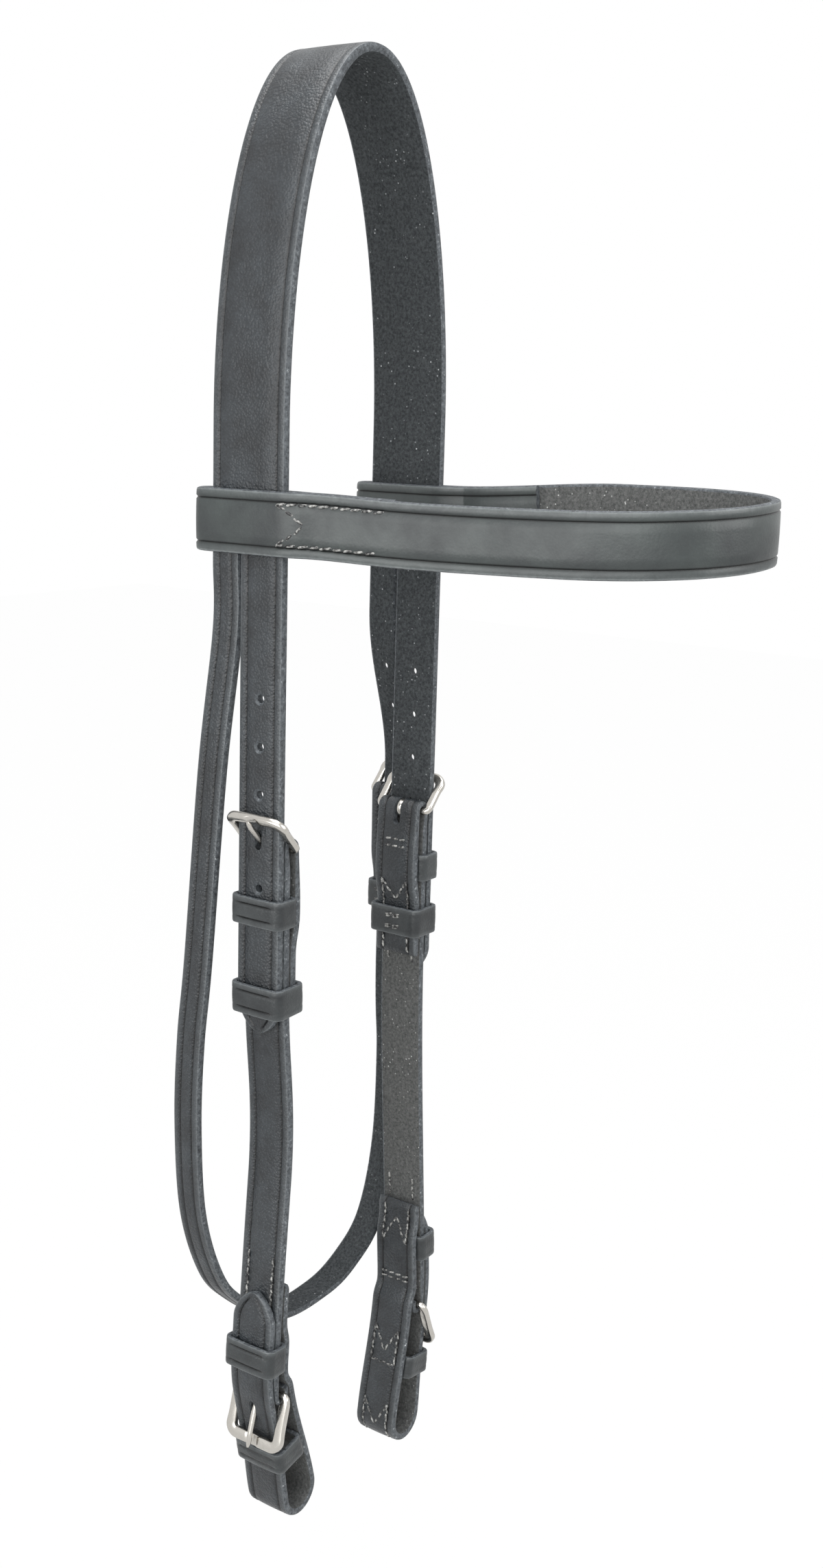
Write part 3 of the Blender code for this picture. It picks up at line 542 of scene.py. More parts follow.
@dataclass(frozen=True)
class StrapCut:
    """How a strap's edges are rounded and where its crease lines run."""

    edge_round: float = 0.0009
    crease_inset: float = 0.0033
    crease_half: float = 0.0007
    crease_depth: float = 0.00045
    crown: float = 0.0002
    edge_bulge: float = 0.00015
    plain_half: float = 0.0035
    plain_blend: float = 0.002
    full_crown_half: float = 0.008

    def ring(self, station: Station) -> list[tuple[Vector, Face, float]]:
        """Cut the strap once.

        Args:
            station: where and how wide the cut is.

        Returns:
            The ring of points, each with the face that follows it and its tone: -1 in a crease, painted
            as shade, and 1 on the rim, whose paler colour is partly rubbed wear and partly a painted
            highlight.
        """
        half, thick = station.width / 2, station.thickness / 2
        rim = min(self.edge_round, thick * 0.6, half * 0.5)
        inset = min(self.crease_inset, half * 0.62)
        fold = min(self.crease_half, inset * 0.3)
        pressed = station.crease * smoothstep((half - self.plain_half) / self.plain_blend)
        depth = self.crease_depth * pressed
        crown = self.crown * min(1.0, half / self.full_crown_half)
        line = half - inset
        tone = -pressed
        # Tones above 0 pale the rim, partly as rubbed wear and partly as painted highlight; below 0 darken
        # the crease line as painted shade.
        outer = [(-half + rim, thick, 0.35), (-line - fold, thick + crown * 0.5, 0.06),
                 (-line, thick - depth, tone), (-line + fold, thick + crown * 0.4, 0.0),
                 (-line * 0.5, thick + crown * 0.8, 0.0), (0.0, thick + crown, 0.0),
                 (line * 0.5, thick + crown * 0.8, 0.0), (line - fold, thick + crown * 0.4, 0.0),
                 (line, thick - depth, tone), (line + fold, thick + crown * 0.5, 0.06),
                 (half - rim, thick, 0.35)]
        knee = rim * (1 - sqrt(0.5))
        right = [(half - knee, thick - knee, 1.0), (half, thick - rim, 0.8),
                 (half + self.edge_bulge, 0.0, 0.0), (half, -thick + rim, 0.0),
                 (half - knee, -thick + knee, 0.0)]
        inner = [(half - rim, -thick, 0.0), (0.0, -thick, 0.0), (-half + rim, -thick, 0.0)]
        left = [(-u, v, t) for u, v, t in reversed(right)]
        points = [(p, Face.GRAIN) for p in outer] + [(p, Face.EDGE) for p in right]
        points += [(p, Face.FLESH) for p in inner] + [(p, Face.EDGE) for p in left]
        marked = [(p, self.follow(k, face, len(outer), len(points))) for k, (p, face) in enumerate(points)]
        return [(station.middle + station.across * u + station.outward * v, face, t)
                for (u, v, t), face in marked]

    @staticmethod
    def follow(place: int, face: Face, outer: int, count: int) -> Face:
        """The face between a point and the next: the rim's turn still belongs to the grain."""
        if place == outer:
            return Face.EDGE
        if place == count - 1:
            return Face.GRAIN
        return face


STRAP_CUT = StrapCut()
KEEPER_CUT = StrapCut(edge_round=0.0006, crease_inset=0.0026, crease_half=0.0006, crease_depth=0.00050,
                      crown=0.00015, edge_bulge=0.0001, plain_half=0.001)


def lay(middles: Sequence[Vector], across: Sequence[Vector], widths: Sequence[float],
        thicknesses: Sequence[float], turn: int, creases: Optional[Sequence[float]] = None,
        closed: bool = False) -> list[Station]:
    """Turn a path into stations.

    Args:
        middles: the middle of the leather along the path.
        across: the direction across the strap at each point.
        widths: the strap's width at each point.
        thicknesses: the leather's thickness at each point.
        turn: 1 or -1, the side of the path that the grain is on.
        creases: the share of the crease depth at each point.
        closed: whether the path joins its own start.

    Returns:
        One station for each point.
    """
    last = len(middles) - 1
    stations = []
    for k, middle in enumerate(middles):
        after = middles[(k + 1) % len(middles)] if closed else middles[min(k + 1, last)]
        before = middles[k - 1] if closed else middles[max(k - 1, 0)]
        heading = (after - before).normalized()
        side = (across[k] - heading * across[k].dot(heading)).normalized()
        outward = heading.cross(side) * turn
        crease = creases[k] if creases else 1.0
        stations.append(Station(middle, side, outward, widths[k], thicknesses[k], crease))
    return stations


class Strap:
    """A strap's stations, with places on its faces."""

    FACING = 0.25
    UPRIGHT = 0.3

    def __init__(self, stations: list[Station]) -> None:
        """Keep the stations in their order along the strap."""
        self.stations = stations

    def at_height(self, z: float, side: Vector, offset: float, flesh: bool = False) -> tuple[Vector, Vector]:
        """Find a place on a face that looks a certain way.

        Args:
            z: the height of the place.
            side: the direction that the grain looks in there.
            offset: how far across the strap it is, towards +Y.
            flesh: whether it is on the flesh side.

        Returns:
            The place and the direction out of the face.
        """
        best, gap = self.stations[0], 1.0
        for station in self.stations:
            if station.outward.dot(side) > self.FACING and abs(station.middle.z - z) < gap:
                best, gap = station, abs(station.middle.z - z)
        out = -best.outward if flesh else best.outward
        along = best.across.cross(best.outward)
        drop = along * ((z - best.middle.z) / along.z) if abs(along.z) > self.UPRIGHT else Vector()
        sign = copysign(1.0, best.across.y)
        return best.middle + drop + out * best.thickness / 2 + best.across * offset * sign, out


class LeatherBench:
    """Makes meshes from rings of points and puts them on their bodies."""

    def loft(self, rings: Sequence[Sequence[tuple[Vector, Face, float]]], closed: bool,
             bm: bmesh.types.BMesh) -> None:
        """Join rings into a closed skin.

        Args:
            rings: equal rings of points, each with its face and tone.
            closed: whether the last ring joins the first.
            bm: the mesh that the skin is added to.
        """
        tone = bm.verts.layers.float.get("tone") or bm.verts.layers.float.new("tone")
        rows = []
        for ring in rings:
            row = []
            for place, _, shade in ring:
                vert = bm.verts.new(place)
                vert[tone] = shade
                row.append(vert)
            rows.append(row)
        count = len(rings[0])
        pairs = list(zip(range(len(rows)), range(1, len(rows))))
        if closed:
            pairs.append((len(rows) - 1, 0))
        for a, b in pairs:
            for k in range(count):
                j = (k + 1) % count
                made = bm.faces.new((rows[a][k], rows[a][j], rows[b][j], rows[b][k]))
                made.material_index = rings[a][k][1].value
        if not closed:
            for row in (rows[0], rows[-1]):
                made = bm.faces.new(row)
                made.material_index = Face.EDGE.value

    def piece(self, name: str, bm: bmesh.types.BMesh, finishes: Sequence[Finish],
              sharp: float = LEATHER_SHARP) -> bpy.types.Object:
        """Put a mesh in the scene.

        Args:
            name: the piece's name.
            bm: its mesh, which is used up.
            finishes: its materials in slot order.
            sharp: edges sharper than this many degrees aren't shaded round.

        Returns:
            The new object.
        """
        bmesh.ops.recalc_face_normals(bm, faces=bm.faces)
        mesh = bpy.data.meshes.new(name)
        bm.to_mesh(mesh)
        bm.free()
        for finish in finishes:
            mesh.materials.append(finish.material())
        mesh.shade_smooth()
        mesh.set_sharp_from_angle(angle=radians(sharp))
        made = bpy.data.objects.new(name, mesh)
        bpy.context.scene.collection.objects.link(made)
        return made

    def leather(self, name: str, straps: Sequence[Sequence[Station]], cut: StrapCut, grain: Finish,
                closed: bool = False, cutters: Sequence[Callable[[bmesh.types.BMesh], None]] = (),
                flesh: Finish = FLESH) -> bpy.types.Object:
        """Make a leather piece from one or more straps.

        Args:
            name: the piece's name.
            straps: the stations of each strap.
            cut: how the straps are cut and creased.
            grain: the finish of the grain side.
            closed: whether each strap joins its own start.
            cutters: functions that each add a punch or slot to a mesh.
            flesh: the finish of the flesh side.

        Returns:
            The new object.
        """
        bm = bmesh.new()
        for stations in straps:
            self.loft([cut.ring(station) for station in stations], closed, bm)
        finishes = (grain, EDGE, flesh)
        made = self.piece(name, bm, finishes)
        if cutters:
            self.punch(made, cutters, finishes)
        return made

    def punch(self, piece: bpy.types.Object, cutters: Sequence[Callable[[bmesh.types.BMesh], None]],
              finishes: Sequence[Finish]) -> None:
        """Cut punches and slots out of a piece and keep the result as its mesh."""
        bm = bmesh.new()
        for cutter in cutters:
            cutter(bm)
        for face in bm.faces:
            face.material_index = Face.EDGE.value
        tool = self.piece(f"{piece.name}_punch", bm, finishes)
        boolean = piece.modifiers.new("punch", "BOOLEAN")
        boolean.operation = "DIFFERENCE"
        boolean.solver = "EXACT"
        boolean.object = tool
        graph = bpy.context.evaluated_depsgraph_get()
        mesh = bpy.data.meshes.new_from_object(piece.evaluated_get(graph))
        piece.modifiers.clear()
        piece.data = mesh
        mesh.set_sharp_from_angle(angle=radians(LEATHER_SHARP))
        bpy.data.objects.remove(tool, do_unlink=True)

    def mount(self, piece: bpy.types.Object, body: str, slot: str, *nodes: str) -> bpy.types.Object:
        """Ride a piece on its body and hide the solids that it stands for."""
        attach(piece, body)
        if nodes:
            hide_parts(*nodes)
        LOG.info("%s rides on %s", piece.name, body)
        return piece


def round_punch(center: Vector, axis: Vector, radius: float, depth: float, flare: float
                ) -> Callable[[bmesh.types.BMesh], None]:
    """A round punch with a pressed-in mouth.

    Args:
        center: the middle of the hole at the grain face.
        axis: the direction out of the grain face.
        radius: the hole's radius.
        depth: how far the punch goes in.
        flare: how much wider the mouth is.

    Returns:
        A function that adds the punch to a mesh.
    """
    def add(bm: bmesh.types.BMesh) -> None:
        """Add the round punch."""
        side = axis.orthogonal().normalized()
        other = axis.cross(side)
        rows = []
        for height, size in ((0.002, radius + 3.2 * flare), (0.0, radius + flare), (-0.0006, radius),
                             (-depth, radius)):
            rows.append([bm.verts.new(center + axis * height + (side * a + other * b) * size)
                         for a, b in arc(1.0, 0.0, 2 * pi, 20)[:-1]])
        skin(bm, rows)
    return add


def oval_punch(center: Vector, axis: Vector, across: Vector, width: float, length: float, depth: float
               ) -> Callable[[bmesh.types.BMesh], None]:
    """A long punch with round ends.

    Args:
        center: the middle of the hole.
        axis: the direction of the punch.
        across: the direction of the hole's width.
        width: the hole's width.
        length: the hole's whole length.
        depth: the punch's whole depth, half on each side of its center.

    Returns:
        A function that adds the punch to a mesh.
    """
    def add(bm: bmesh.types.BMesh) -> None:
        """Add the long punch."""
        along = axis.cross(across)
        straight = max(length - width, 0.0) / 2
        outline = [(a, b + straight) for a, b in arc(width / 2, 0.0, pi, 10)]
        outline += [(a, b - straight) for a, b in arc(width / 2, pi, 2 * pi, 10)]
        rows = [[bm.verts.new(center + axis * height + across * a + along * b) for a, b in outline]
                for height in (depth / 2, -depth / 2)]
        skin(bm, rows)
    return add


def skin(bm: bmesh.types.BMesh, rows: Sequence[Sequence[bmesh.types.BMVert]], capped: bool = True) -> None:
    """Join rows of vertices into a skin, capped unless it closes on itself."""
    count = len(rows[0])
    for a, b in zip(rows, rows[1:]):
        for k in range(count):
            j = (k + 1) % count
            bm.faces.new((a[k], a[j], b[j], b[k]))
    if capped:
        for row in (rows[0], rows[-1]):
            bm.faces.new(row)


class Seam:
    """Hand stitching: short humps of thread that dip into the leather between holes."""

    PITCH = 0.0034
    RADIUS = 0.00043
    SLANT = radians(9)
    PROFILE = ((-0.50, 0.45, -0.75), (-0.32, 0.95, 0.25), (0.0, 1.1, 0.55), (0.32, 0.95, 0.25),
               (0.50, 0.45, -0.75))

    def __init__(self) -> None:
        """Start with no stitches."""
        self.bm = bmesh.new()

    def run(self, line: Sequence[tuple[Vector, Vector]], pitch: float = PITCH) -> None:
        """Sew along a line.

        Args:
            line: places on the leather, each with the direction out of its face.
            pitch: the distance from hole to hole.
        """
        for (start, out), (end, _) in zip(line, line[1:]):
            count = max(1, round((end - start).length / pitch))
            for k in range(count):
                self.stitch(start.lerp(end, k / count), start.lerp(end, (k + 1) / count), out)

    def stitch(self, start: Vector, end: Vector, out: Vector) -> None:
        """Add one stitch from hole to hole."""
        along = end - start
        length = along.length * 1.02
        along = Matrix.Rotation(self.SLANT, 3, out) @ along.normalized()
        side = out.cross(along).normalized()
        middle = (start + end) / 2
        rows = []
        for share, size, lift in self.PROFILE:
            center = middle + along * share * length + out * lift * self.RADIUS
            rows.append([self.bm.verts.new(center + (side * a + out * b) * size)
                         for a, b in arc(self.RADIUS, 0.0, 2 * pi, 7)[:-1]])
        skin(self.bm, rows)

    def finish(self, bench: LeatherBench, name: str, body: str, slot: str) -> bpy.types.Object:
        """Put the sewn thread in the scene."""
        return bench.mount(bench.piece(name, self.bm, (THREAD,), THREAD_SHARP), body, slot)


@dataclass
class HangingLine:
    """The line that a side's straps hang along, with its kinks eased as leather eases them."""

    side: Side
    knots: list[tuple[float, float]] = field(default_factory=list)
    bend_z: float = -1.0
    bit_lean: float = 0.0
    ease_near: float = 0.007
    ease_far: float = 0.022
    probe: float = 0.0005

    def kinked(self, z: float) -> Vector:
        """The uneased line: how far out it is and how high, at the length z down the strap."""
        start = max(z, self.bend_z)
        out = HALF_SPAN
        for (high, high_swing), (low, low_swing) in zip(self.knots, self.knots[1:]):
            if low <= start <= high:
                out += high_swing + (low_swing - high_swing) * (high - start) / (high - low)
        run = z - start
        return Vector((out + run * sin(self.bit_lean), start + run * cos(self.bit_lean)))

    def center(self, z: float) -> Vector:
        """The eased line: the mean of the kinked one over a short length."""
        above = z - self.bend_z - self.ease_near
        reach = min(self.ease_far, self.ease_near + max(0.0, above) * 0.45)
        places = [self.kinked(z + reach * k / 6) for k in range(-6, 7)]
        return sum(places, Vector((0.0, 0.0))) / len(places)

    def up(self, z: float) -> Vector:
        """The direction of the line at z, pointing up, as out and height."""
        return (self.center(z + self.probe) - self.center(z - self.probe)).normalized()

    def vector(self, n: float, rise: float, z: float) -> Vector:
        """A direction given outwards and up along the line."""
        up = self.up(z)
        return Vector((self.side.value * (n * up.y + rise * up.x), 0.0, rise * up.y - n * up.x))

    def at(self, n: float, y: float, z: float) -> Vector:
        """The point in the part's frame."""
        center = self.center(z)
        return Vector((self.side.value * center.x, y, center.y)) + self.vector(n, 0.0, z)

    @property
    def outwards(self) -> Vector:
        """The direction away from the horse on this side."""
        return Vector((self.side.value, 0.0, 0.0))


@dataclass
class PlumbLine(HangingLine):
    """A hanging line that is plumb, for the throatlash buckle."""

    x: float = THROAT_LINE_X

    def center(self, z: float) -> Vector:
        """The same distance out at every height."""
        return Vector((self.x, z))


@dataclass
class BuckleSeat:
    """Where a buckle sits in a stack: hinge bar inside, free bar outside the point strap."""

    line: HangingLine
    y: float
    way: Way
    strap_width: float
    over: float
    length: float
    fold: float = SKIVED_LEATHER
    bar_z: float = 0.0

    def __post_init__(self) -> None:
        """Work out the bar's depth and the frame's tilt."""
        self.bar_n = -GAP / 2 - self.fold - GAP - BAR_RADIUS
        free_n = GAP / 2 + self.over + GAP + FREE_BAR_RADIUS
        self.tilt = asin((free_n - self.bar_n) / self.length)
        self.tongue_lift = BAR_RADIUS + GAP + TONGUE_WIRE / 2
        self.tip_lift = FREE_BAR_RADIUS + GAP + TONGUE_WIRE / 2

    def hole_reach(self, swing: float) -> float:
        """Distance along the tongue, from the bar to the middle of the point strap."""
        angle = self.tilt + swing
        return (GAP / 2 + self.over / 2 - self.bar_n - self.tongue_lift * cos(angle)) / sin(angle)

    def hole_rise(self, swing: float = 0.0) -> float:
        """Height of the tongue where it crosses the point strap, from the bar."""
        angle = self.tilt + swing
        return self.way.value * (self.hole_reach(swing) * cos(angle) - self.tongue_lift * sin(angle))

    def seat_on_hole(self, hole_z: float) -> None:
        """Place the bar so that the tongue comes through a hole of the point strap."""
        self.bar_z = hole_z - self.hole_rise()

    def local(self, along: float, lift: float, y: float = 0.0) -> Vector:
        """A point given along the frame from the bar, lifted off its plane, and across."""
        n = self.bar_n + along * sin(self.tilt) + lift * cos(self.tilt)
        z = self.bar_z + self.way.value * (along * cos(self.tilt) - lift * sin(self.tilt))
        base = self.line.at(0.0, self.y + y, self.bar_z)
        return base + self.line.vector(n, z - self.bar_z, self.bar_z)

    def tongue_hole(self) -> Callable[[bmesh.types.BMesh], None]:
        """An oval punch through the point strap, long enough for the tongue to swing."""
        middle = (FRAME_SWING + TONGUE_SWING) / 2
        angle = self.tilt + middle
        center = self.line.at(GAP / 2 + self.over / 2, self.y, self.bar_z + self.hole_rise(middle))
        axis = self.line.vector(sin(angle), self.way.value * cos(angle), self.bar_z).normalized()
        width = TONGUE_WIRE + 3.6 * GAP
        length = width + 2 * (self.hole_reach(0.0) + self.over) * sin(middle)
        return oval_punch(center, axis, ACROSS, width, length, 2.6 * self.over / sin(angle))

    def tongue_slot(self) -> Callable[[bmesh.types.BMesh], None]:
        """The slot in the fold that lets the tongue turn on its bar."""
        eye = self.tongue_lift + TONGUE_WIRE / 2 + 5 * GAP
        fold = BAR_RADIUS + GAP + self.fold + 8 * GAP
        low, high = self.bar_n - fold, GAP / 2
        z = self.bar_z + self.way.value * (fold - eye) / 2
        center = self.line.at((low + high) / 2, self.y, z)
        axis = self.line.vector(1, 0, self.bar_z).normalized()
        width = TONGUE_WIRE + 4 * GAP
        return oval_punch(center, axis, ACROSS, width, fold + eye + width / 2, high - low)


@dataclass(frozen=True)
class FrameCast:
    """The cross-section of a cast buckle frame: round at the hinge bar, flat at the free bar."""

    side_width: float = 0.0015
    side_depth: float = 0.00125
    bar_inside: float = 0.0015
    bar_outside: float = 0.0023
    bar_depth: float = 0.0014
    flatness: float = 3.6
    bow: float = 0.0006
    hinge_corner: float = 0.0017
    free_corner: float = 0.0034
    notch: float = 0.0004


CHEEK_CAST = FrameCast()
BIT_CAST = FrameCast(side_width=0.0019, side_depth=0.0013, bar_inside=0.0021, bar_depth=0.0013,
                     flatness=4.6, bow=0.0, free_corner=0.0030, notch=0.0006)


@dataclass
class BuckleSet:
    """One buckle: its cast frame and its loose tongue."""

    name: str
    seat: BuckleSeat
    cast: FrameCast
    side_room: float = 0.0005
    overhang: float = 0.0026
    tongue_half: float = 0.00135
    tongue_sides: int = 16
    tongue_steps: int = 16
    tip_droop: float = 0.0002
    outline_spacing: float = 0.0011
    notch_half: float = 0.0023
    notch_blend: float = 0.0008

    def build(self, bench: LeatherBench) -> None:
        """Make the frame and the tongue and mount them."""
        for part, bm, slot in (("frame", self.frame_mesh(), "buckle_frame_steel"),
                               ("tongue", self.tongue_mesh(), "buckle_tongue_steel")):
            node = f"{self.name}_{part}"
            bench.mount(bench.piece(f"{node}_cast", bm, (STEEL,), STEEL_SHARP), node, slot, node)

    def outline(self) -> list[tuple[float, float]]:
        """The frame's middle line as along and across, round its four corners."""
        half = self.seat.strap_width / 2 + self.side_room + BAR_RADIUS
        length = self.seat.length
        points = []
        for along, across, corner, first in (
                (length, half, self.cast.free_corner, 0), (0.0, half, self.cast.hinge_corner, 90),
                (0.0, -half, self.cast.hinge_corner, 180), (length, -half, self.cast.free_corner, 270)):
            middle = along - corner if along else corner
            for a, b in arc(corner, radians(first), radians(first + 90), 7):
                points.append(Vector((middle + a, across - copysign(corner, across) + b)))
        points.append(points[0])
        fine = divide(points, self.outline_spacing)[:-1]
        return [(p.x + self.cast.bow * (1 - (p.y / half) ** 2) * smoothstep(p.x / length), p.y) for p in fine]

    def frame_mesh(self) -> bmesh.types.BMesh:
        """The frame's skin."""
        bm = bmesh.new()
        path = self.outline()
        cast, length = self.cast, self.seat.length
        rows = []
        for k, (along, across) in enumerate(path):
            after, before = path[(k + 1) % len(path)], path[k - 1]
            heading = Vector((after[0] - before[0], after[1] - before[1])).normalized()
            out = Vector((heading.y, -heading.x))
            share = smoothstep((along / length - 0.55) / 0.45)
            leave = smoothstep(along / length / 0.18)
            inside = BAR_RADIUS + leave * (mix(cast.side_width, cast.bar_inside, share) - BAR_RADIUS)
            outside = BAR_RADIUS + leave * (mix(cast.side_width, cast.bar_outside, share) - BAR_RADIUS)
            depth = BAR_RADIUS + leave * (mix(cast.side_depth, cast.bar_depth, share) - BAR_RADIUS)
            power = 2.0 / (2.0 + leave * (cast.flatness - 2.0))
            dip = cast.notch * share * smoothstep((self.notch_half - abs(across)) / self.notch_blend)
            row = []
            for a, b in arc(1.0, 0.0, 2 * pi, 20)[:-1]:
                wide = copysign(abs(a) ** power, a) * (outside if a > 0 else inside)
                tall = copysign(abs(b) ** power, b) * depth
                tall -= dip * (1.0 if b > 0 else 0.0)
                row.append(bm.verts.new(self.seat.local(along + out.x * wide, tall, across + out.y * wide)))
            rows.append(row)
        rows.append(rows[0])
        skin(bm, rows, capped=False)
        return bm

    def tongue_mesh(self) -> bmesh.types.BMesh:
        """The tongue: an eye round the hinge bar and a shank that narrows to a blunt tip."""
        bm = bmesh.new()
        seat = self.seat
        half = TONGUE_WIRE / 2
        places = [(a, b, 0.95, 1.0) for a, b in arc(seat.tongue_lift, radians(338), radians(90), 22)]
        reach = seat.length + self.overhang
        rise = seat.tip_lift - seat.tongue_lift
        for k in range(1, self.tongue_steps + 1):
            t = k / self.tongue_steps
            wide = 0.95 - 0.12 * smoothstep((t - 0.5) / 0.45)
            wide *= sqrt(max(1 - smoothstep((t - 0.9) / 0.1) ** 2 * 0.85, 0.0))
            tall = 1.0 - 0.45 * smoothstep((t - 0.82) / 0.18)
            droop = self.tip_droop * smoothstep((t - 0.8) / 0.2)
            places.append((reach * t, seat.tongue_lift + rise * t - droop, wide, tall))
        rows = []
        for k, (along, lift, wide, tall) in enumerate(places):
            after, before = places[min(k + 1, len(places) - 1)], places[max(k - 1, 0)]
            heading = Vector((after[0] - before[0], after[1] - before[1])).normalized()
            out = Vector((-heading.y, heading.x))
            row = []
            for a, b in arc(1.0, 0.0, 2 * pi, self.tongue_sides)[:-1]:
                off = out * b * tall * half
                row.append(bm.verts.new(seat.local(along + off.x, lift + off.y, a * wide * self.tongue_half)))
            rows.append(row)
        skin(bm, rows)
        return bm


@dataclass
class KeeperBand:
    """A leather band round a stack of straps, with two iron-pressed lines on its front."""

    name: str
    line: HangingLine
    rooms: tuple[tuple[float, float], tuple[float, float]]
    y: float
    width: float
    top: float
    height: float
    joined: bool = False
    corner: float = 0.0020
    bow: float = 0.00035
    line_start: float = 0.0004
    line_blend: float = 0.0014
    join_half: float = 0.0036
    join_pair: float = 0.0004

    def stations(self) -> list[Station]:
        """The band's stations round the stack, with creases on the front alone."""
        half_y = self.width / 2 + GAP + KEEPER_LEATHER / 2
        outline = []
        for side_n, side_y, first in ((1, 1, 0), (-1, 1, 90), (-1, -1, 180), (1, -1, 270)):
            for a, b in arc(self.corner, radians(first), radians(first + 90), 6):
                outline.append(Vector((side_n, side_y * (half_y - self.corner) + b, a, 0.0)))
        outline.append(outline[0].copy())
        middles, across, widths, creases = [], [], [], []
        for point in self.spread(outline):
            ends = []
            for (low, high), z in zip(self.rooms, (self.top, self.top - self.height)):
                half_n = (high - low) / 2 + KEEPER_LEATHER / 2 - self.corner
                n = (low + high) / 2 + point.x * half_n + point.z
                front = smoothstep(point.x)
                n += self.bow * front * (1 - (point.y / half_y) ** 2)
                ends.append(self.line.at(n, self.y + point.y, z))
            middles.append((ends[0] + ends[1]) / 2)
            across.append((ends[0] - ends[1]).normalized())
            widths.append((ends[0] - ends[1]).length)
            inside = half_y - self.corner - abs(point.y)
            creases.append(smoothstep(point.x) * smoothstep((inside + self.line_start) / self.line_blend))
        thick = [KEEPER_LEATHER] * len(middles)
        return lay(middles, across, widths, thick, self.line.side.value, creases, True)

    @staticmethod
    def spread(outline: Sequence[Vector]) -> list[Vector]:
        """Divide the flat stretches of the outline, which is closed."""
        fine = []
        for point, after in zip(outline, outline[1:]):
            flat = abs(after.y - point.y) > 0.003 or abs(after.x - point.x) > 1.0
            parts = 10 if flat else 1
            fine += [point.lerp(after, k / parts) for k in range(parts)]
        return fine

    def build(self, bench: LeatherBench, body: str) -> None:
        """Make the band, and the sewn join of a runner on its inside."""
        made = bench.leather(f"{self.name}_leather", [self.stations()], KEEPER_CUT, KEEPER_GRAIN, True)
        bench.mount(made, body, "keeper_leather", self.name)
        if self.joined:
            self.sew_join(bench, body)

    def sew_join(self, bench: LeatherBench, body: str) -> None:
        """Two short bars of thread across the runner's butt join."""
        seam = Seam()
        inner = self.rooms[0][0] - KEEPER_LEATHER
        for share in (0.3, 0.7):
            z = self.top - self.height * share
            out = self.line.vector(-1, 0, z)
            for lift in (-self.join_pair, self.join_pair):
                ends = [self.line.at(inner, self.y + y, z + lift) for y in (-self.join_half, self.join_half)]
                seam.run([(ends[0], out), (ends[1], out)], self.join_half)
        seam.finish(bench, f"{self.name}_join_thread", body, "keeper_leather")


def chape_route(seat: BuckleSeat, leather: float, end_z: float, keeper_top: float, keeper_height: float,
                width: float) -> list[Vector]:
    """The route of a strap end turned down round the bar and sewn to itself.

    Args:
        seat: the buckle.
        leather: the strap's thickness.
        end_z: where the turned end stops.
        keeper_top: the top of the keeper that is sewn between the layers.
        keeper_height: the keeper's height.
        width: the strap's width.

    Returns:
        Points as n, z, thickness and width.
    """
    turn = BAR_RADIUS + GAP + seat.fold / 2
    inner_face = -GAP / 2 - leather
    behind_keeper = inner_face - 2 * GAP - KEEPER_LEATHER - leather / 2
    behind_strap = inner_face - GAP - leather / 2
    keeper_bottom = keeper_top - keeper_height
    route = [(inner_face + leather / 2, seat.bar_z - SKIVE_LENGTH, leather)]
    route += [(seat.bar_n + a, seat.bar_z + b, seat.fold) for a, b in arc(turn, 0.0, pi, 14)]
    route += [(behind_keeper, keeper_top + GAP, leather), (behind_keeper, keeper_bottom - GAP, leather),
              (behind_strap, keeper_bottom - KEEPER_EASE, leather),
              (behind_strap, end_z + SKIVED_TIP, leather), (behind_strap, end_z, leather * SKIVED_SHARE)]
    return [Vector((*place, width)) for place in route]


def point_route(n: float, width: float, leather: float, tip_z: float, full_z: float) -> list[Vector]:
    """The route of a strap's rounded point, as n, z, thickness and width."""
    route = []
    for k in range(15):
        t = sin(k / 14 * pi / 2)
        share = (1 - (0.985 * t) ** 1.55) ** 0.56
        route.append(Vector((n, full_z + (tip_z - full_z) * t, leather, width * share)))
    return route


def hang(line: HangingLine, y: float, route: Sequence[Vector], turn: int) -> list[Station]:
    """Lay a route of n, z, thickness and width along a hanging line."""
    middles = [line.at(p.x, y, p.y) for p in route]
    across = [ACROSS] * len(route)
    return lay(middles, across, [p.w for p in route], [p.z for p in route], turn)


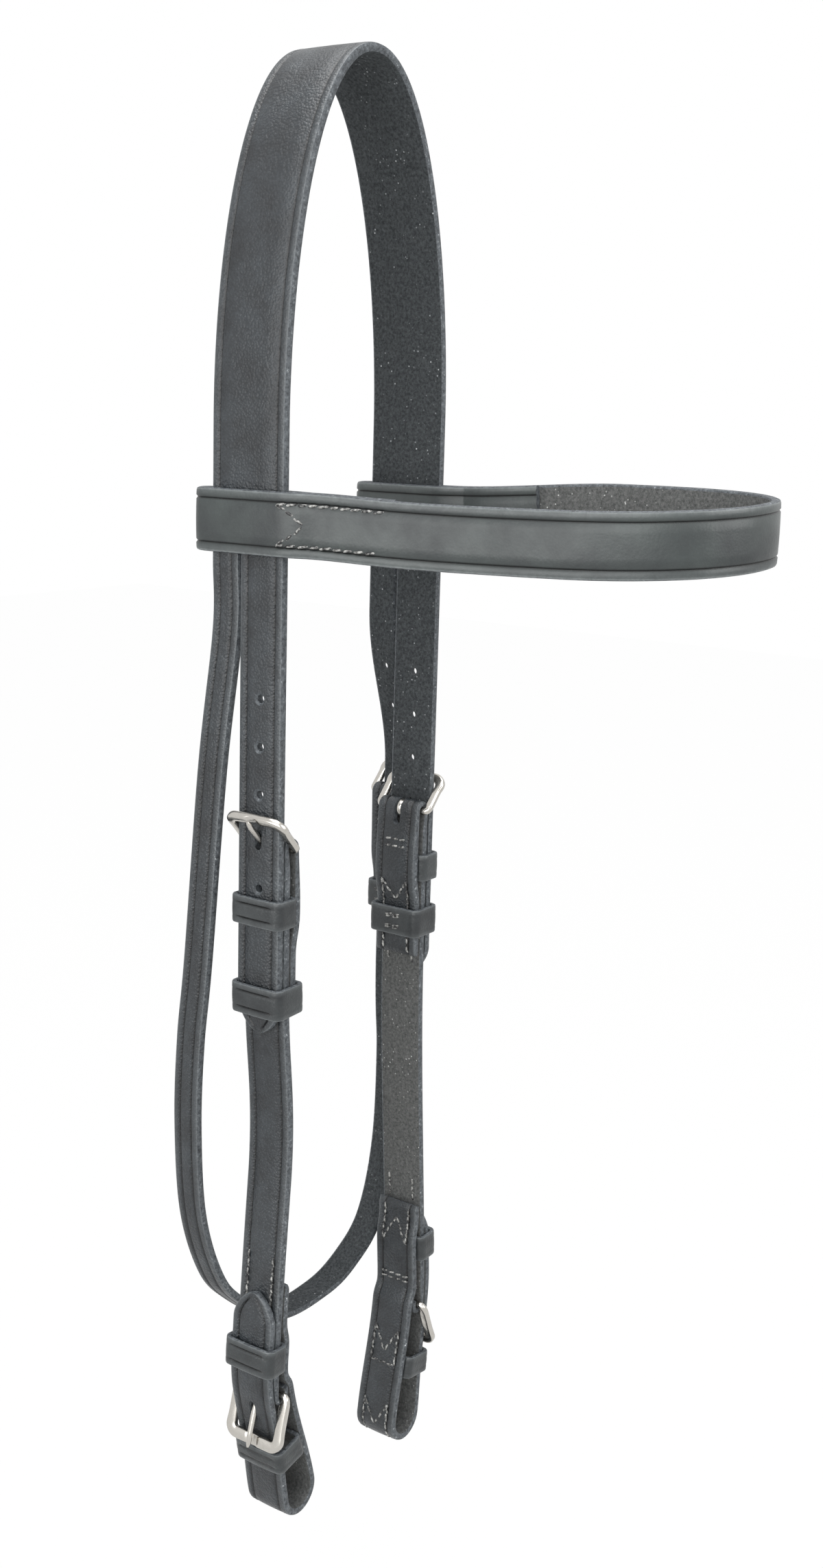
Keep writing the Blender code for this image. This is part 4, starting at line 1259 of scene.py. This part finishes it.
@dataclass
class Cheekpiece:
    """One cheekpiece: strap, keepers, runner, billet, two buckles and their sewing."""

    side: Side
    swings: tuple[float, float, float]
    bit_lean: float
    runner_drop: float
    upper_keeper_rise: float
    loop_drop: float
    cheek_length: float = 0.2145
    waist_rise: float = 0.1100
    billet_end_rise: float = 0.0460
    billet_point_rise: float = 0.0425
    point_below_hole: float = 0.0712
    point_taper: float = 0.011
    chape_length: float = 0.0587
    keeper_drop: float = 0.0177
    keeper_height: float = 0.0105
    runner_height: float = 0.0112
    runner_play: float = 0.0005
    upper_keeper_height: float = 0.0108
    lower_keeper_drop: float = 0.0220
    lower_keeper_height: float = 0.0090
    bit_return_rise: float = 0.002
    loop_diameter: float = 0.0190
    loop_inset: float = 0.0050
    row_inset: float = 0.0037
    cheek_frame_length: float = 0.0145
    bit_frame_length: float = 0.0200
    fold_ease: float = 0.005
    billet_ease: float = 0.004
    billet_tip: float = 0.0018
    billet_tip_lift: float = 0.0006
    billet_step: float = 0.006
    # Sewing, as drops below the cheek bar and the bit bar
    chape_bars: tuple[float, float] = (0.0118, 0.0146)
    chape_figure: float = 0.0282
    chape_figure_tip: float = 0.0362
    billet_figure: float = 0.0095
    billet_figure_tip: float = 0.0195
    billet_figure_end: float = 0.0240
    billet_bar: float = 0.0242
    loop_figure: float = 0.0405
    loop_figure_tip: float = 0.0505
    loop_figure_end: float = 0.0045
    # Sewing, from the end of the leather, the keeper or the figure that it belongs to
    row_clear: float = 0.001
    tail_start: float = 0.0008
    tail_end: float = 0.0042
    billet_row_start: float = 0.002
    billet_row_rise: float = 0.0110
    keeper_row_drop: float = 0.0035
    keeper_figure: float = 0.0105
    cross_drop: float = 0.0075
    cross_pitch: float = 0.0022
    bar_share: float = 0.85
    cross_share: float = 1.2

    def __post_init__(self) -> None:
        """Work out the hanging line and seat both buckles on it."""
        self.name = self.side.name.lower()
        line = HangingLine(self.side)
        self.line = line
        self.top = BuckleSeat(line, CHEEK_Y, Way.UP, CHEEK_WIDTH, LEATHER, self.cheek_frame_length)
        self.top.seat_on_hole(BUCKLED_HOLE_Z)
        bit_z = self.top.bar_z - self.cheek_length
        self.point_z = BUCKLED_HOLE_Z - self.point_below_hole
        self.billet_z = bit_z + self.billet_end_rise
        self.waist_z = bit_z + self.waist_rise
        line.bend_z = bit_z + SKIVE_LENGTH
        line.bit_lean = self.bit_lean
        heights = (self.point_z, self.waist_z, self.billet_z, line.bend_z)
        line.knots = list(zip(heights, (0.0, *self.swings)))
        self.bit = BuckleSeat(line, CHEEK_Y, Way.DOWN, CHEEK_WIDTH, BILLET_LEATHER, self.bit_frame_length,
                              bar_z=bit_z)
        self.row = CHEEK_WIDTH / 2 - self.row_inset

    def build(self, bench: LeatherBench) -> None:
        """Make every piece of this side."""
        strap = self.build_strap(bench)
        billet = self.build_billet(bench)
        self.build_keepers(bench)
        BuckleSet(f"{self.name}_cheek_buckle", self.top, CHEEK_CAST).build(bench)
        BuckleSet(f"{self.name}_bit_buckle", self.bit, BIT_CAST).build(bench)
        self.sew(bench, strap, billet)

    def build_strap(self, bench: LeatherBench) -> Strap:
        """The cheek strap, turned round the bar of a buckle at each end."""
        bit, top = self.bit, self.top
        turn = BAR_RADIUS + GAP + bit.fold / 2
        route = [(bit.bar_n - turn, bit.bar_z + self.bit_return_rise, bit.fold)]
        route += [(bit.bar_n + a, bit.bar_z - b, bit.fold) for a, b in arc(turn, pi, 0.0, 14)]
        route += [(-OUTER_LAYER, z, LEATHER) for z in (self.line.bend_z, self.billet_z, self.waist_z,
                                                       self.point_z)]
        points = [Vector((*place, CHEEK_WIDTH)) for place in route]
        points += chape_route(top, LEATHER, top.bar_z - self.chape_length, top.bar_z - self.keeper_drop,
                              self.keeper_height, CHEEK_WIDTH)
        fine = divide(soften(points, self.fold_ease, 3), STATION_SPACING)
        stations = hang(self.line, CHEEK_Y, fine, -self.side.value)
        made = bench.leather(f"{self.name}_cheek_strap_leather", [stations], STRAP_CUT, STRAP_GRAIN,
                             cutters=[top.tongue_slot(), bit.tongue_slot()])
        bench.mount(made, ROOT_BODY, "cheek_leather", f"{self.name}_cheek_strap")
        return Strap(stations)

    def legs(self) -> tuple[Callable[[float], float], Callable[[float], float], float, float]:
        """The billet's inner and outer legs as n by height, with the heights of fold and loop."""
        bit, half = self.bit, BILLET_LEATHER / 2
        behind_fold = bit.bar_n - BAR_RADIUS - 2 * GAP - bit.fold - half
        fold_z = bit.bar_z - BAR_RADIUS - 2 * GAP - bit.fold
        radius = self.loop_diameter / 2 - half
        loop_z = bit.bar_z - self.loop_drop + self.loop_diameter / 2
        lower_top = bit.bar_z - self.lower_keeper_drop

        def inner(z: float) -> float:
            """The middle of the inner leg."""
            return mix(behind_fold, -self.loop_inset - radius, (fold_z - z) / (fold_z - loop_z))

        def outer(z: float) -> float:
            """The middle of the outer leg."""
            return mix(GAP / 2 + half, -self.loop_inset + radius, (lower_top - z) / (lower_top - loop_z))

        return inner, outer, fold_z, loop_z

    def build_billet(self, bench: LeatherBench) -> Strap:
        """The billet, sewn inside the cheek strap, looped for the bit and buckled outside it."""
        bit, half = self.bit, BILLET_LEATHER / 2
        inner, outer, fold_z, loop_z = self.legs()
        upper_top = bit.bar_z + self.upper_keeper_rise
        lower_top = bit.bar_z - self.lower_keeper_drop
        against = -OUTER_FACE - GAP - half
        behind_keeper = -OUTER_FACE - 2 * GAP - KEEPER_LEATHER - half
        radius = self.loop_diameter / 2 - half
        route = [(against + self.billet_tip_lift, self.billet_z, BILLET_LEATHER * SKIVED_SHARE),
                 (against, self.billet_z - self.billet_tip, BILLET_LEATHER)]
        route += [(n, z, BILLET_LEATHER) for n, z in (
            (against, upper_top + self.billet_step), (behind_keeper, upper_top + GAP),
            (behind_keeper, self.line.bend_z),
            (inner(fold_z), bit.bar_z + self.bit_return_rise + GAP), (inner(fold_z), fold_z))]
        steps = 8
        route += [(inner(z), z, BILLET_LEATHER) for z in
                  (fold_z + (loop_z - fold_z) * k / steps for k in range(1, steps))]
        route += [(a - self.loop_inset, loop_z + b, BILLET_LEATHER) for a, b in arc(radius, pi, 2 * pi, 24)]
        route += [(outer(z), z, BILLET_LEATHER) for z in
                  (loop_z + (lower_top - loop_z) * k / steps for k in range(1, steps + 1))]
        route.append((GAP / 2 + half, self.line.bend_z, BILLET_LEATHER))
        points = [Vector((*place, CHEEK_WIDTH)) for place in route]
        tip_z = bit.bar_z + self.billet_point_rise
        fine = divide(soften(points, self.billet_ease, 3), STATION_SPACING)
        fine = divide(fine + point_route(GAP / 2 + half, CHEEK_WIDTH, BILLET_LEATHER, tip_z,
                                         tip_z - self.point_taper), STATION_SPACING)
        stations = hang(self.line, CHEEK_Y, fine, -self.side.value)
        made = bench.leather(f"{self.name}_bit_billet_leather", [stations], STRAP_CUT, STRAP_GRAIN,
                             cutters=[bit.tongue_hole()])
        bench.mount(made, ROOT_BODY, "billet_leather", f"{self.name}_bit_billet")
        return Strap(stations)

    def build_keepers(self, bench: LeatherBench) -> None:
        """The sewn keepers and the sliding runner."""
        top, bit, name = self.top, self.bit, self.name
        outside = OUTER_FACE + GAP
        sewn = (-OUTER_FACE - GAP, outside)
        loose = (-OUTER_FACE - LEATHER - 2 * GAP - self.runner_play, outside)
        upper = (-OUTER_FACE - GAP, GAP / 2 + BILLET_LEATHER + GAP)
        inner, outer, _, _ = self.legs()
        lower_top = bit.bar_z - self.lower_keeper_drop
        half = BILLET_LEATHER / 2
        lower = tuple((inner(z) + half + GAP + KEEPER_LEATHER, outer(z) + half + GAP)
                      for z in (lower_top, lower_top - self.lower_keeper_height))
        bands = (
            (f"{name}_cheek_keeper", (sewn, sewn), top.bar_z - self.keeper_drop, self.keeper_height, False),
            (f"{name}_cheek_runner", (loose, loose), top.bar_z - self.runner_drop, self.runner_height, True),
            (f"{name}_bit_upper_keeper", (upper, upper), bit.bar_z + self.upper_keeper_rise,
             self.upper_keeper_height, False),
            (f"{name}_bit_lower_keeper", lower, lower_top, self.lower_keeper_height, False),
        )
        for node, rooms, z, height, slides in bands:
            band = KeeperBand(node, self.line, rooms, CHEEK_Y, CHEEK_WIDTH, z, height, slides)
            band.build(bench, node if slides else ROOT_BODY)

    def sew(self, bench: LeatherBench, strap: Strap, billet: Strap) -> None:
        """Sew the chape, the billet and the keepers, with their pointed figures."""
        seam = Seam()
        inwards = -self.line.outwards
        bar, bit = self.top.bar_z, self.bit.bar_z
        end = bar - self.chape_length

        def line(owner: Strap, look: Vector, *places: tuple[float, float], flesh: bool = False
                 ) -> list[tuple[Vector, Vector]]:
            """Places on a face, given as share of the row's distance from the middle, and height."""
            route = divide([Vector((share * self.row, z)) for share, z in places], Seam.PITCH)
            return [owner.at_height(p.y, look, p.x, flesh) for p in route]

        outwards = self.line.outwards
        figure = bar - self.chape_figure
        for drop in self.chape_bars:
            seam.run(line(strap, inwards, (-self.bar_share, bar - drop), (self.bar_share, bar - drop)))
        for share in (-1, 1):
            seam.run(line(strap, inwards, (share, figure), (share, end + self.row_clear)))
            seam.run(line(strap, outwards, (share, end - self.tail_start), (share, end - self.tail_end),
                          flesh=True))
            seam.run(line(strap, inwards, (share, figure), (0.0, bar - self.chape_figure_tip)))
        upper = self.billet_z + self.billet_row_rise
        lower = bit + self.upper_keeper_rise - self.keeper_row_drop
        figure, loop = bit - self.billet_figure, bit - self.loop_figure
        loop_end = bit - self.loop_drop + self.loop_figure_end
        for share in (-1, 1):
            seam.run(line(strap, outwards, (share, upper), (share, self.billet_z + self.row_clear),
                          flesh=True))
            seam.run(line(strap, outwards, (share, upper), (share, lower)))
            seam.run(line(billet, inwards, (share, self.billet_z - self.billet_row_start), (share, lower)))
            seam.run(line(billet, inwards, (share, lower), (0.0, lower + self.keeper_figure)))
            seam.run(line(billet, inwards, (share, figure), (share, bit - self.billet_figure_end)))
            seam.run(line(billet, inwards, (share, figure), (0.0, bit - self.billet_figure_tip)))
            seam.run(line(billet, inwards, (share, loop), (share, loop_end)))
            seam.run(line(billet, inwards, (share, loop), (0.0, bit - self.loop_figure_tip)))
        cross = bit + self.upper_keeper_rise - self.upper_keeper_height - self.cross_drop
        for z in (cross, cross - self.cross_pitch):
            seam.run(line(billet, inwards, (-self.cross_share, z), (self.cross_share, z)))
        seam.run(line(billet, inwards, (-1.0, bit - self.billet_bar), (1.0, bit - self.billet_bar)))
        seam.finish(bench, f"{self.name}_cheek_thread", ROOT_BODY, "cheek_leather")


@dataclass
class ThroatFittings:
    """The buckle, keeper and runner that close the throatlash on the near side."""

    chape_length: float = 0.055
    keeper_drop: float = 0.0165
    keeper_height: float = 0.0095
    runner_drop: float = 0.0370
    runner_height: float = 0.0112
    frame_length: float = 0.0140

    def __post_init__(self) -> None:
        """Seat the buckle."""
        self.line = PlumbLine(Side.NEAR)
        self.seat = BuckleSeat(self.line, THROAT_LINE_Y, Way.UP, THROAT_WIDTH, LEATHER, self.frame_length)
        self.seat.seat_on_hole(BUCKLED_HOLE_Z)

    def end_route(self) -> list[Vector]:
        """The throatlash's turned end."""
        bar = self.seat.bar_z
        return chape_route(self.seat, THROAT_END_LEATHER, bar - self.chape_length, bar - self.keeper_drop,
                           self.keeper_height, THROAT_WIDTH)

    def build(self, bench: LeatherBench) -> None:
        """Make the buckle and both bands."""
        BuckleSet("throat_buckle", self.seat, CHEEK_CAST).build(bench)
        outside = OUTER_FACE + GAP
        inner_face = -GAP / 2 - THROAT_END_LEATHER
        sewn = (inner_face - GAP, outside)
        loose = (inner_face - THROAT_END_LEATHER - 2 * GAP, outside)
        bar = self.seat.bar_z
        KeeperBand("throat_keeper", self.line, (sewn, sewn), THROAT_LINE_Y, THROAT_WIDTH,
                   bar - self.keeper_drop, self.keeper_height).build(bench, ROOT_BODY)
        KeeperBand("throat_runner", self.line, (loose, loose), THROAT_LINE_Y, THROAT_WIDTH,
                   bar - self.runner_drop, self.runner_height, True).build(bench, "throat_runner")


@dataclass
class Headpiece:
    """The headpiece: crown, slit sides, cheek points, near throat point and long throatlash."""

    off: Cheekpiece
    near: Cheekpiece
    throat: ThroatFittings
    arch_drop: float = 0.125
    arch_fullness: float = 1.05
    # The slit starts under the browband, which hides its end at every pose.
    slit_z: float = -0.157
    below_slit: tuple[float, float] = (-0.172, -0.184)
    hole_radius: float = 0.0015
    hole_flare: float = 0.0007
    throat_point_below_hole: float = 0.062
    point_taper: float = 0.011
    drift_start: float = 0.196
    drift_end: float = 0.260
    rise_start: float = 0.345
    lead_pitch: float = 0.012
    fold_ease: float = 0.005
    row_inset: float = 0.0030
    chape_bars: tuple[float, float] = (0.0108, 0.0132)
    chape_figure: float = 0.0275
    chape_figure_tip: float = 0.0335
    row_clear: float = 0.002
    route: tuple[tuple[float, float, float], ...] = (
        (-0.0485, 0.0145, -0.245), (-0.0505, 0.0194, -0.318), (-0.0505, 0.0230, -0.350),
        (-0.0490, 0.0257, -0.384), (-0.0450, 0.0269, -0.421), (-0.0370, 0.0258, -0.448),
        (-0.0270, 0.0235, -0.463), (-0.0050, 0.0205, -0.479), (0.0240, 0.0195, -0.480),
        (0.0390, 0.0160, -0.471), (0.0510, 0.0130, -0.455), (0.0595, 0.0125, -0.425),
        (0.0620, 0.0130, -0.385),
    )

    def build(self, bench: LeatherBench) -> None:
        """Make the headpiece in one piece, punch it and sew its throatlash."""
        lash = self.throatlash()
        straps = [self.crown(), self.throat_point(), lash]
        cutters = []
        for side in (self.off, self.near):
            straps.append(self.cheek_point(side))
            cutters.append(side.top.tongue_hole())
            cutters += self.holes(side.line, lambda z: (OUTER_LAYER, CHEEK_Y))
        cutters.append(self.throat.seat.tongue_hole())
        cutters += self.holes(self.near.line, self.drift)
        cutters.append(self.throat.seat.tongue_slot())
        # The headpiece's flesh side takes the darker copy of the flesh finish, as painted shade.
        made = bench.leather("headpiece_leather", straps, STRAP_CUT, STRAP_GRAIN, cutters=cutters,
                             flesh=SHADED_HEADPIECE_FLESH)
        bench.mount(made, ROOT_BODY, "headpiece_leather", "headpiece")
        self.sew(bench, Strap(lash[-self.end_count:]))

    def crown(self) -> list[Station]:
        """The whole strap over the poll, down to where the slits start."""
        wide, height = HALF_SPAN + OUTER_LAYER, self.arch_drop + LEATHER / 2
        middles = []
        for k in range(121):
            angle = pi * k / 120 - pi / 2
            x = copysign(wide * abs(sin(angle)) ** (1 / self.arch_fullness), angle)
            middles.append(Vector((x, 0.0, height * cos(angle) - self.arch_drop)))
        legs = [-self.arch_drop + (self.slit_z + self.arch_drop) * k / 8 for k in range(8, 0, -1)]
        middles = [Vector((-wide, 0.0, z)) for z in legs] + middles
        middles += [Vector((wide, 0.0, z)) for z in reversed(legs)]
        count = len(middles)
        return lay(middles, [ACROSS] * count, [HEADPIECE_WIDTH] * count, [LEATHER] * count, 1)

    def cheek_point(self, side: Cheekpiece) -> list[Station]:
        """The front part below the slit, which the cheek buckle holds."""
        route = [Vector((OUTER_LAYER, self.slit_z, LEATHER, CHEEK_WIDTH))]
        route += point_route(OUTER_LAYER, CHEEK_WIDTH, LEATHER, side.point_z, side.point_z + self.point_taper)
        return hang(side.line, CHEEK_Y, divide(route, POINT_SPACING), side.side.value)

    def drift(self, z: float) -> tuple[float, float]:
        """How the near throat point moves out to its buckle: n and y at a height."""
        share = smoothstep((-z - self.drift_start) / (self.drift_end - self.drift_start))
        n = OUTER_LAYER + share * (THROAT_LINE_X - HALF_SPAN)
        return n, THROAT_Y + share * (THROAT_LINE_Y - THROAT_Y)

    def throat_point(self) -> list[Station]:
        """The short near part below the slit, which the throat buckle holds."""
        tip = BUCKLED_HOLE_Z - self.throat_point_below_hole
        zs = [self.slit_z, *self.below_slit]
        zs += [-self.drift_start - (self.drift_end - self.drift_start) * k / 24 for k in range(25)]
        line, middles, widths = self.near.line, [], []
        for z in zs:
            n, y = self.drift(z)
            middles.append(line.at(n, y, z))
            widths.append(THROAT_WIDTH)
        point = point_route(OUTER_LAYER, THROAT_WIDTH, LEATHER, tip, tip + self.point_taper)
        start = Vector((OUTER_LAYER, -self.drift_end - POINT_SPACING, LEATHER, THROAT_WIDTH))
        route = divide([start, *point], POINT_SPACING)
        middles += [self.throat.line.at(p.x, THROAT_LINE_Y, p.y) for p in route]
        widths += [p.w for p in route]
        across = [ACROSS] * len(middles)
        return lay(middles, across, widths, [LEATHER] * len(middles), 1)

    def throatlash(self) -> list[Station]:
        """The long off part, which hangs under the throat and turns round its buckle."""
        off, line = self.off.line, self.throat.line
        start = [off.at(OUTER_LAYER, THROAT_Y, z)
                 for z in (self.slit_z, self.below_slit[0], -self.drift_start)]
        layer = -GAP / 2 - THROAT_END_LEATHER / 2
        ends = [line.at(layer, THROAT_LINE_Y, -z) for z in (self.rise_start, FIRST_HOLE_DROP)]
        path = [start[0]] + smooth_path([start[0], start[1], start[2], *self.route, *ends], ROUTE_STEPS)
        last = len(path) - 1
        thick = [LEATHER + (THROAT_END_LEATHER - LEATHER) * k / last for k in range(len(path))]
        end = divide(soften(self.end_route(), self.fold_ease, 3), STATION_SPACING)
        self.end_count = len(end)
        middles = path + [line.at(p.x, THROAT_LINE_Y, p.y) for p in end]
        across = [ACROSS] * len(middles)
        return lay(middles, across, [THROAT_WIDTH] * len(middles), thick + [p.z for p in end], -1)

    def end_route(self) -> list[Vector]:
        """The turned end, led in along the rising part."""
        layer = -GAP / 2 - THROAT_END_LEATHER / 2
        heights = [-self.rise_start + POINT_SPACING + self.lead_pitch * k for k in range(5)]
        lead = [Vector((layer, z, THROAT_END_LEATHER, THROAT_WIDTH)) for z in heights]
        return lead + self.throat.end_route()

    def holes(self, line: HangingLine, place: Callable[[float], tuple[float, float]]
              ) -> list[Callable[[bmesh.types.BMesh], None]]:
        """Round punches through a point strap, all but the one that the tongue is in."""
        punches = []
        for k in range(HOLE_COUNT):
            z = -(FIRST_HOLE_DROP + k * HOLE_PITCH)
            n, y = place(z)
            if k != BUCKLED_HOLE:
                out = line.outwards
                mouth = line.at(n + LEATHER / 2, y, z)
                punches.append(round_punch(mouth, out, self.hole_radius, 2 * LEATHER, self.hole_flare))
        return punches

    def sew(self, bench: LeatherBench, lash: Strap) -> None:
        """Sew the throatlash's turned end: a bar, two rows and a point."""
        seam = Seam()
        bar = self.throat.seat.bar_z
        inwards = Vector((-1, 0, 0))
        half = THROAT_WIDTH / 2 - self.row_inset
        end = bar - self.throat.chape_length

        def line(*places: tuple[float, float]) -> list[tuple[Vector, Vector]]:
            """Places on the turned end's grain."""
            route = divide([Vector((share * half, z)) for share, z in places], Seam.PITCH)
            return [lash.at_height(p.y, inwards, p.x) for p in route]

        figure = bar - self.chape_figure
        for drop in self.chape_bars:
            seam.run(line((-1, bar - drop), (1, bar - drop)))
        for share in (-1, 1):
            seam.run(line((share, figure), (share, end + self.row_clear)))
            seam.run(line((share, figure), (0, bar - self.chape_figure_tip)))
        seam.finish(bench, "throatlash_thread", ROOT_BODY, "headpiece_leather")


@dataclass
class Browband:
    """The browband: a bowed strap whose ends are turned back into loops for the headpiece."""

    off: Cheekpiece
    near: Cheekpiece
    leather: float = LEATHER
    drop: float = 0.1572
    height: float = 0.0217
    roll: float = 0.060
    roll_reach: float = 0.070
    fold: float = 0.040
    closing: float = 0.010
    room: float = 0.0008
    loop_ease: float = 0.004
    row_inset: float = 0.0040
    row_stop: float = 0.003
    mouth_reach: float = 0.0095
    bow: tuple[tuple[float, float], ...] = (
        (-0.0445, -0.030), (-0.0390, -0.052), (-0.0310, -0.078), (-0.0270, -0.100), (-0.0220, -0.120),
        (-0.0130, -0.136), (0.0010, -0.149), (0.0190, -0.156), (0.0390, -0.155), (0.0540, -0.143),
        (0.0620, -0.120), (0.0615, -0.090), (0.0555, -0.055), (0.0505, -0.032),
    )

    def build(self, bench: LeatherBench) -> None:
        """Make the band and sew its loops."""
        plan, seams = self.plan()
        middles = [Vector((*p, self.middle_z(p))) for p in plan]
        count = len(middles)
        stations = lay(middles, [Vector((0, 0, 1))] * count, [self.height] * count, [self.leather] * count, 1)
        made = bench.leather("browband_leather", [stations], STRAP_CUT, BROWBAND_GRAIN)
        bench.mount(made, "browband", "browband_leather", "browband")
        self.sew(bench, stations, seams)

    def middle_z(self, point: Vector) -> float:
        """The height of the band's middle: it rolls over towards the near side in front."""
        share = smoothstep((HEADPIECE_FRONT - point.y) / self.roll_reach)
        return -self.drop + self.roll * point.x * share

    def loop(self, line: HangingLine) -> list[Vector]:
        """One end loop in plan, from its open front end round the back to the outside."""
        inner = GAP / 2 - self.room - self.leather / 2
        outer = OUTER_FACE + self.room + self.leather / 2
        back = HEADPIECE_BACK + self.room
        radius = (outer - inner) / 2
        places = [(inner, HEADPIECE_FRONT - self.room)]
        places += [((inner + outer) / 2 + a, back + b) for a, b in arc(radius, pi, 0.0, 14)]
        return [line.at(n, y, -self.drop).xy for n, y in places]

    def plan(self) -> tuple[list[Vector], tuple[int, int]]:
        """The band's middle line in plan, and where its front starts and ends in the list."""
        outer = OUTER_FACE + self.room + self.leather / 2
        ends = [[side.line.at(outer, y, -self.drop).xy for y in (HEADPIECE_BACK, HEADPIECE_FRONT)]
                for side in (self.off, self.near)]
        bow = smooth_path([*ends[0], *self.bow, *reversed(ends[1])], ROUTE_STEPS)
        folds: tuple[list[Vector], list[Vector]] = ([], [])
        for k in range(1, len(bow) - 1):
            heading = (bow[k + 1] - bow[k - 1]).normalized()
            inwards = Vector((-heading.y, heading.x)) * (self.leather + GAP)
            if self.closing < HEADPIECE_FRONT - bow[k].y < self.fold:
                folds[k > len(bow) / 2].append(bow[k] + inwards)
        first = list(reversed(folds[0])) + self.loop(self.off.line)
        last = list(reversed(self.loop(self.near.line))) + list(reversed(folds[1]))
        first = divide(soften(first, self.loop_ease, 2), STATION_SPACING)
        last = divide(soften(last, self.loop_ease, 2), STATION_SPACING)
        return first + bow + last, (len(first), len(first) + len(bow) - 1)

    def sew(self, bench: LeatherBench, stations: list[Station], seams: tuple[int, int]) -> None:
        """Two rows along each turned-back end, on the grain, and a point at the loop's mouth."""
        seam = Seam()
        row = self.height / 2 - self.row_inset
        for start, step in ((seams[0], 1), (seams[1], -1)):
            run = [start]
            length = 0.0
            while length < self.fold - self.row_stop:
                after = run[-1] + step
                length += (stations[after].middle - stations[run[-1]].middle).length
                run.append(after)
            for share in (-1, 1):
                self.row_on(seam, stations, run, [share * row] * len(run))
                mouth = [k for k in run
                         if (stations[k].middle - stations[start].middle).length < self.mouth_reach]
                point = [share * row * (1 - i / max(len(mouth) - 1, 1)) for i in range(len(mouth))]
                self.row_on(seam, stations, mouth, point)
        seam.finish(bench, "browband_thread", "browband", "browband_leather")

    @staticmethod
    def row_on(seam: Seam, stations: list[Station], run: Sequence[int], offsets: Sequence[float]) -> None:
        """Sew a row along some stations, on the grain, at the given offsets from the middle."""
        places = []
        for k, offset in zip(run, offsets):
            station = stations[k]
            out = station.outward
            places.append((station.middle + station.across * offset + out * station.thickness / 2, out))
        kept = [places[0]]
        for place in places[1:]:
            if (place[0] - kept[-1][0]).length >= Seam.PITCH * 0.95:
                kept.append(place)
        seam.run(kept)


@dataclass
class Studio:
    """White paper, soft light and the camera of the photograph."""

    camera_place: tuple[float, float, float] = (-0.511156, -0.398420, -0.115974)
    yaw: float = 54.841
    pitch: float = -12.198
    roll: float = 1.645
    lens: float = 40.457
    floor_z: float = -0.62
    floor_size: float = 6.0
    ambient: float = 0.28

    def build(self) -> None:
        """Set the camera, the floor, the lamps and the world."""
        scene = bpy.context.scene
        scene.view_settings.view_transform = "Standard"
        self.place_camera(scene)
        self.lay_floor()
        self.hang_lamps()
        self.light_world(scene)

    def place_camera(self, scene: bpy.types.Scene) -> None:
        """Stand the camera where the photograph was taken from."""
        yaw, pitch, roll = (radians(v) for v in (self.yaw, self.pitch, self.roll))
        forward = Vector((sin(yaw) * cos(pitch), cos(yaw) * cos(pitch), sin(pitch)))
        right = forward.cross(Vector((0, 0, 1))).normalized()
        up = right.cross(forward)
        turned = right * cos(roll) + up * sin(roll)
        up = turned.cross(forward)
        data = bpy.data.cameras.new("photo_camera")
        data.sensor_width = 36.0
        data.lens = self.lens
        data.clip_start = 0.01
        camera = bpy.data.objects.new("photo_camera", data)
        camera.matrix_world = Matrix.Translation(self.camera_place) @ Matrix(
            (turned, up, -forward)).transposed().to_4x4()
        scene.collection.objects.link(camera)
        scene.camera = camera

    def lay_floor(self) -> None:
        """A sheet of paper on the floor under the headstall."""
        bm = bmesh.new()
        bmesh.ops.create_grid(bm, x_segments=8, y_segments=8, size=self.floor_size / 2,
                              matrix=Matrix.Translation((0.0, 0.0, self.floor_z)))
        mesh = bpy.data.meshes.new("paper_floor")
        bm.to_mesh(mesh)
        bm.free()
        mesh.materials.append(PAPER.material())
        floor = bpy.data.objects.new("paper_floor", mesh)
        bpy.context.scene.collection.objects.link(floor)

    def hang_lamps(self) -> None:
        """Large soft lamps: overhead, before the browband, beside the camera and on the off side."""
        for name, place, target, size, power in (
                ("overhead_softbox", (-0.10, -0.10, 0.95), (0.0, 0.0, -0.2), 1.0, 20.0),
                ("front_softbox", (0.35, -1.25, 0.25), (0.0, -0.05, -0.25), 0.8, 8.0),
                ("camera_softbox", (-1.15, -0.75, 0.25), (0.0, -0.02, -0.20), 1.1, 12.0),
                ("side_softbox", (-1.25, 0.10, -0.08), (0.0, -0.06, -0.16), 0.9, 9.0)):
            data = bpy.data.lights.new(name, "AREA")
            data.shape = "SQUARE"
            data.size = size
            data.energy = power
            lamp = bpy.data.objects.new(name, data)
            lamp.location = place
            aim = Vector(target) - Vector(place)
            lamp.rotation_euler = aim.to_track_quat("-Z", "Y").to_euler()
            bpy.context.scene.collection.objects.link(lamp)

    def light_world(self, scene: bpy.types.Scene) -> None:
        """Plain ambient light, with white behind the object."""
        world = bpy.data.worlds.new("white_room")
        world.use_nodes = True
        scene.world = world
        tree = world.node_tree
        seen = seen_directly(tree)
        level = add_node(tree, "ShaderNodeMapRange", {"To Min": self.ambient, "To Max": 1.0},
                         {"Value": seen})
        ground = tree.nodes["Background"]
        ground.inputs["Color"].default_value = (1.0, 1.0, 1.0, 1.0)
        tree.links.new(level.outputs["Result"], ground.inputs["Strength"])


def main() -> None:
    """Build the headstall and its studio."""
    logging.basicConfig(level=logging.INFO, format="%(name)s: %(message)s")
    Studio().build()
    bench = LeatherBench()
    off = Cheekpiece(Side.OFF, swings=(-0.0050, 0.0005, 0.0030), bit_lean=radians(13.0),
                     runner_drop=0.0505, upper_keeper_rise=0.0230, loop_drop=0.0580)
    near = Cheekpiece(Side.NEAR, swings=(0.0014, 0.0060, 0.0085), bit_lean=radians(7.0),
                      runner_drop=0.0393, upper_keeper_rise=0.0320, loop_drop=0.0595)
    throat = ThroatFittings()
    Headpiece(off, near, throat).build(bench)
    throat.build(bench)
    Browband(off, near).build(bench)
    off.build(bench)
    near.build(bench)


if __name__ == "__main__":
    main()
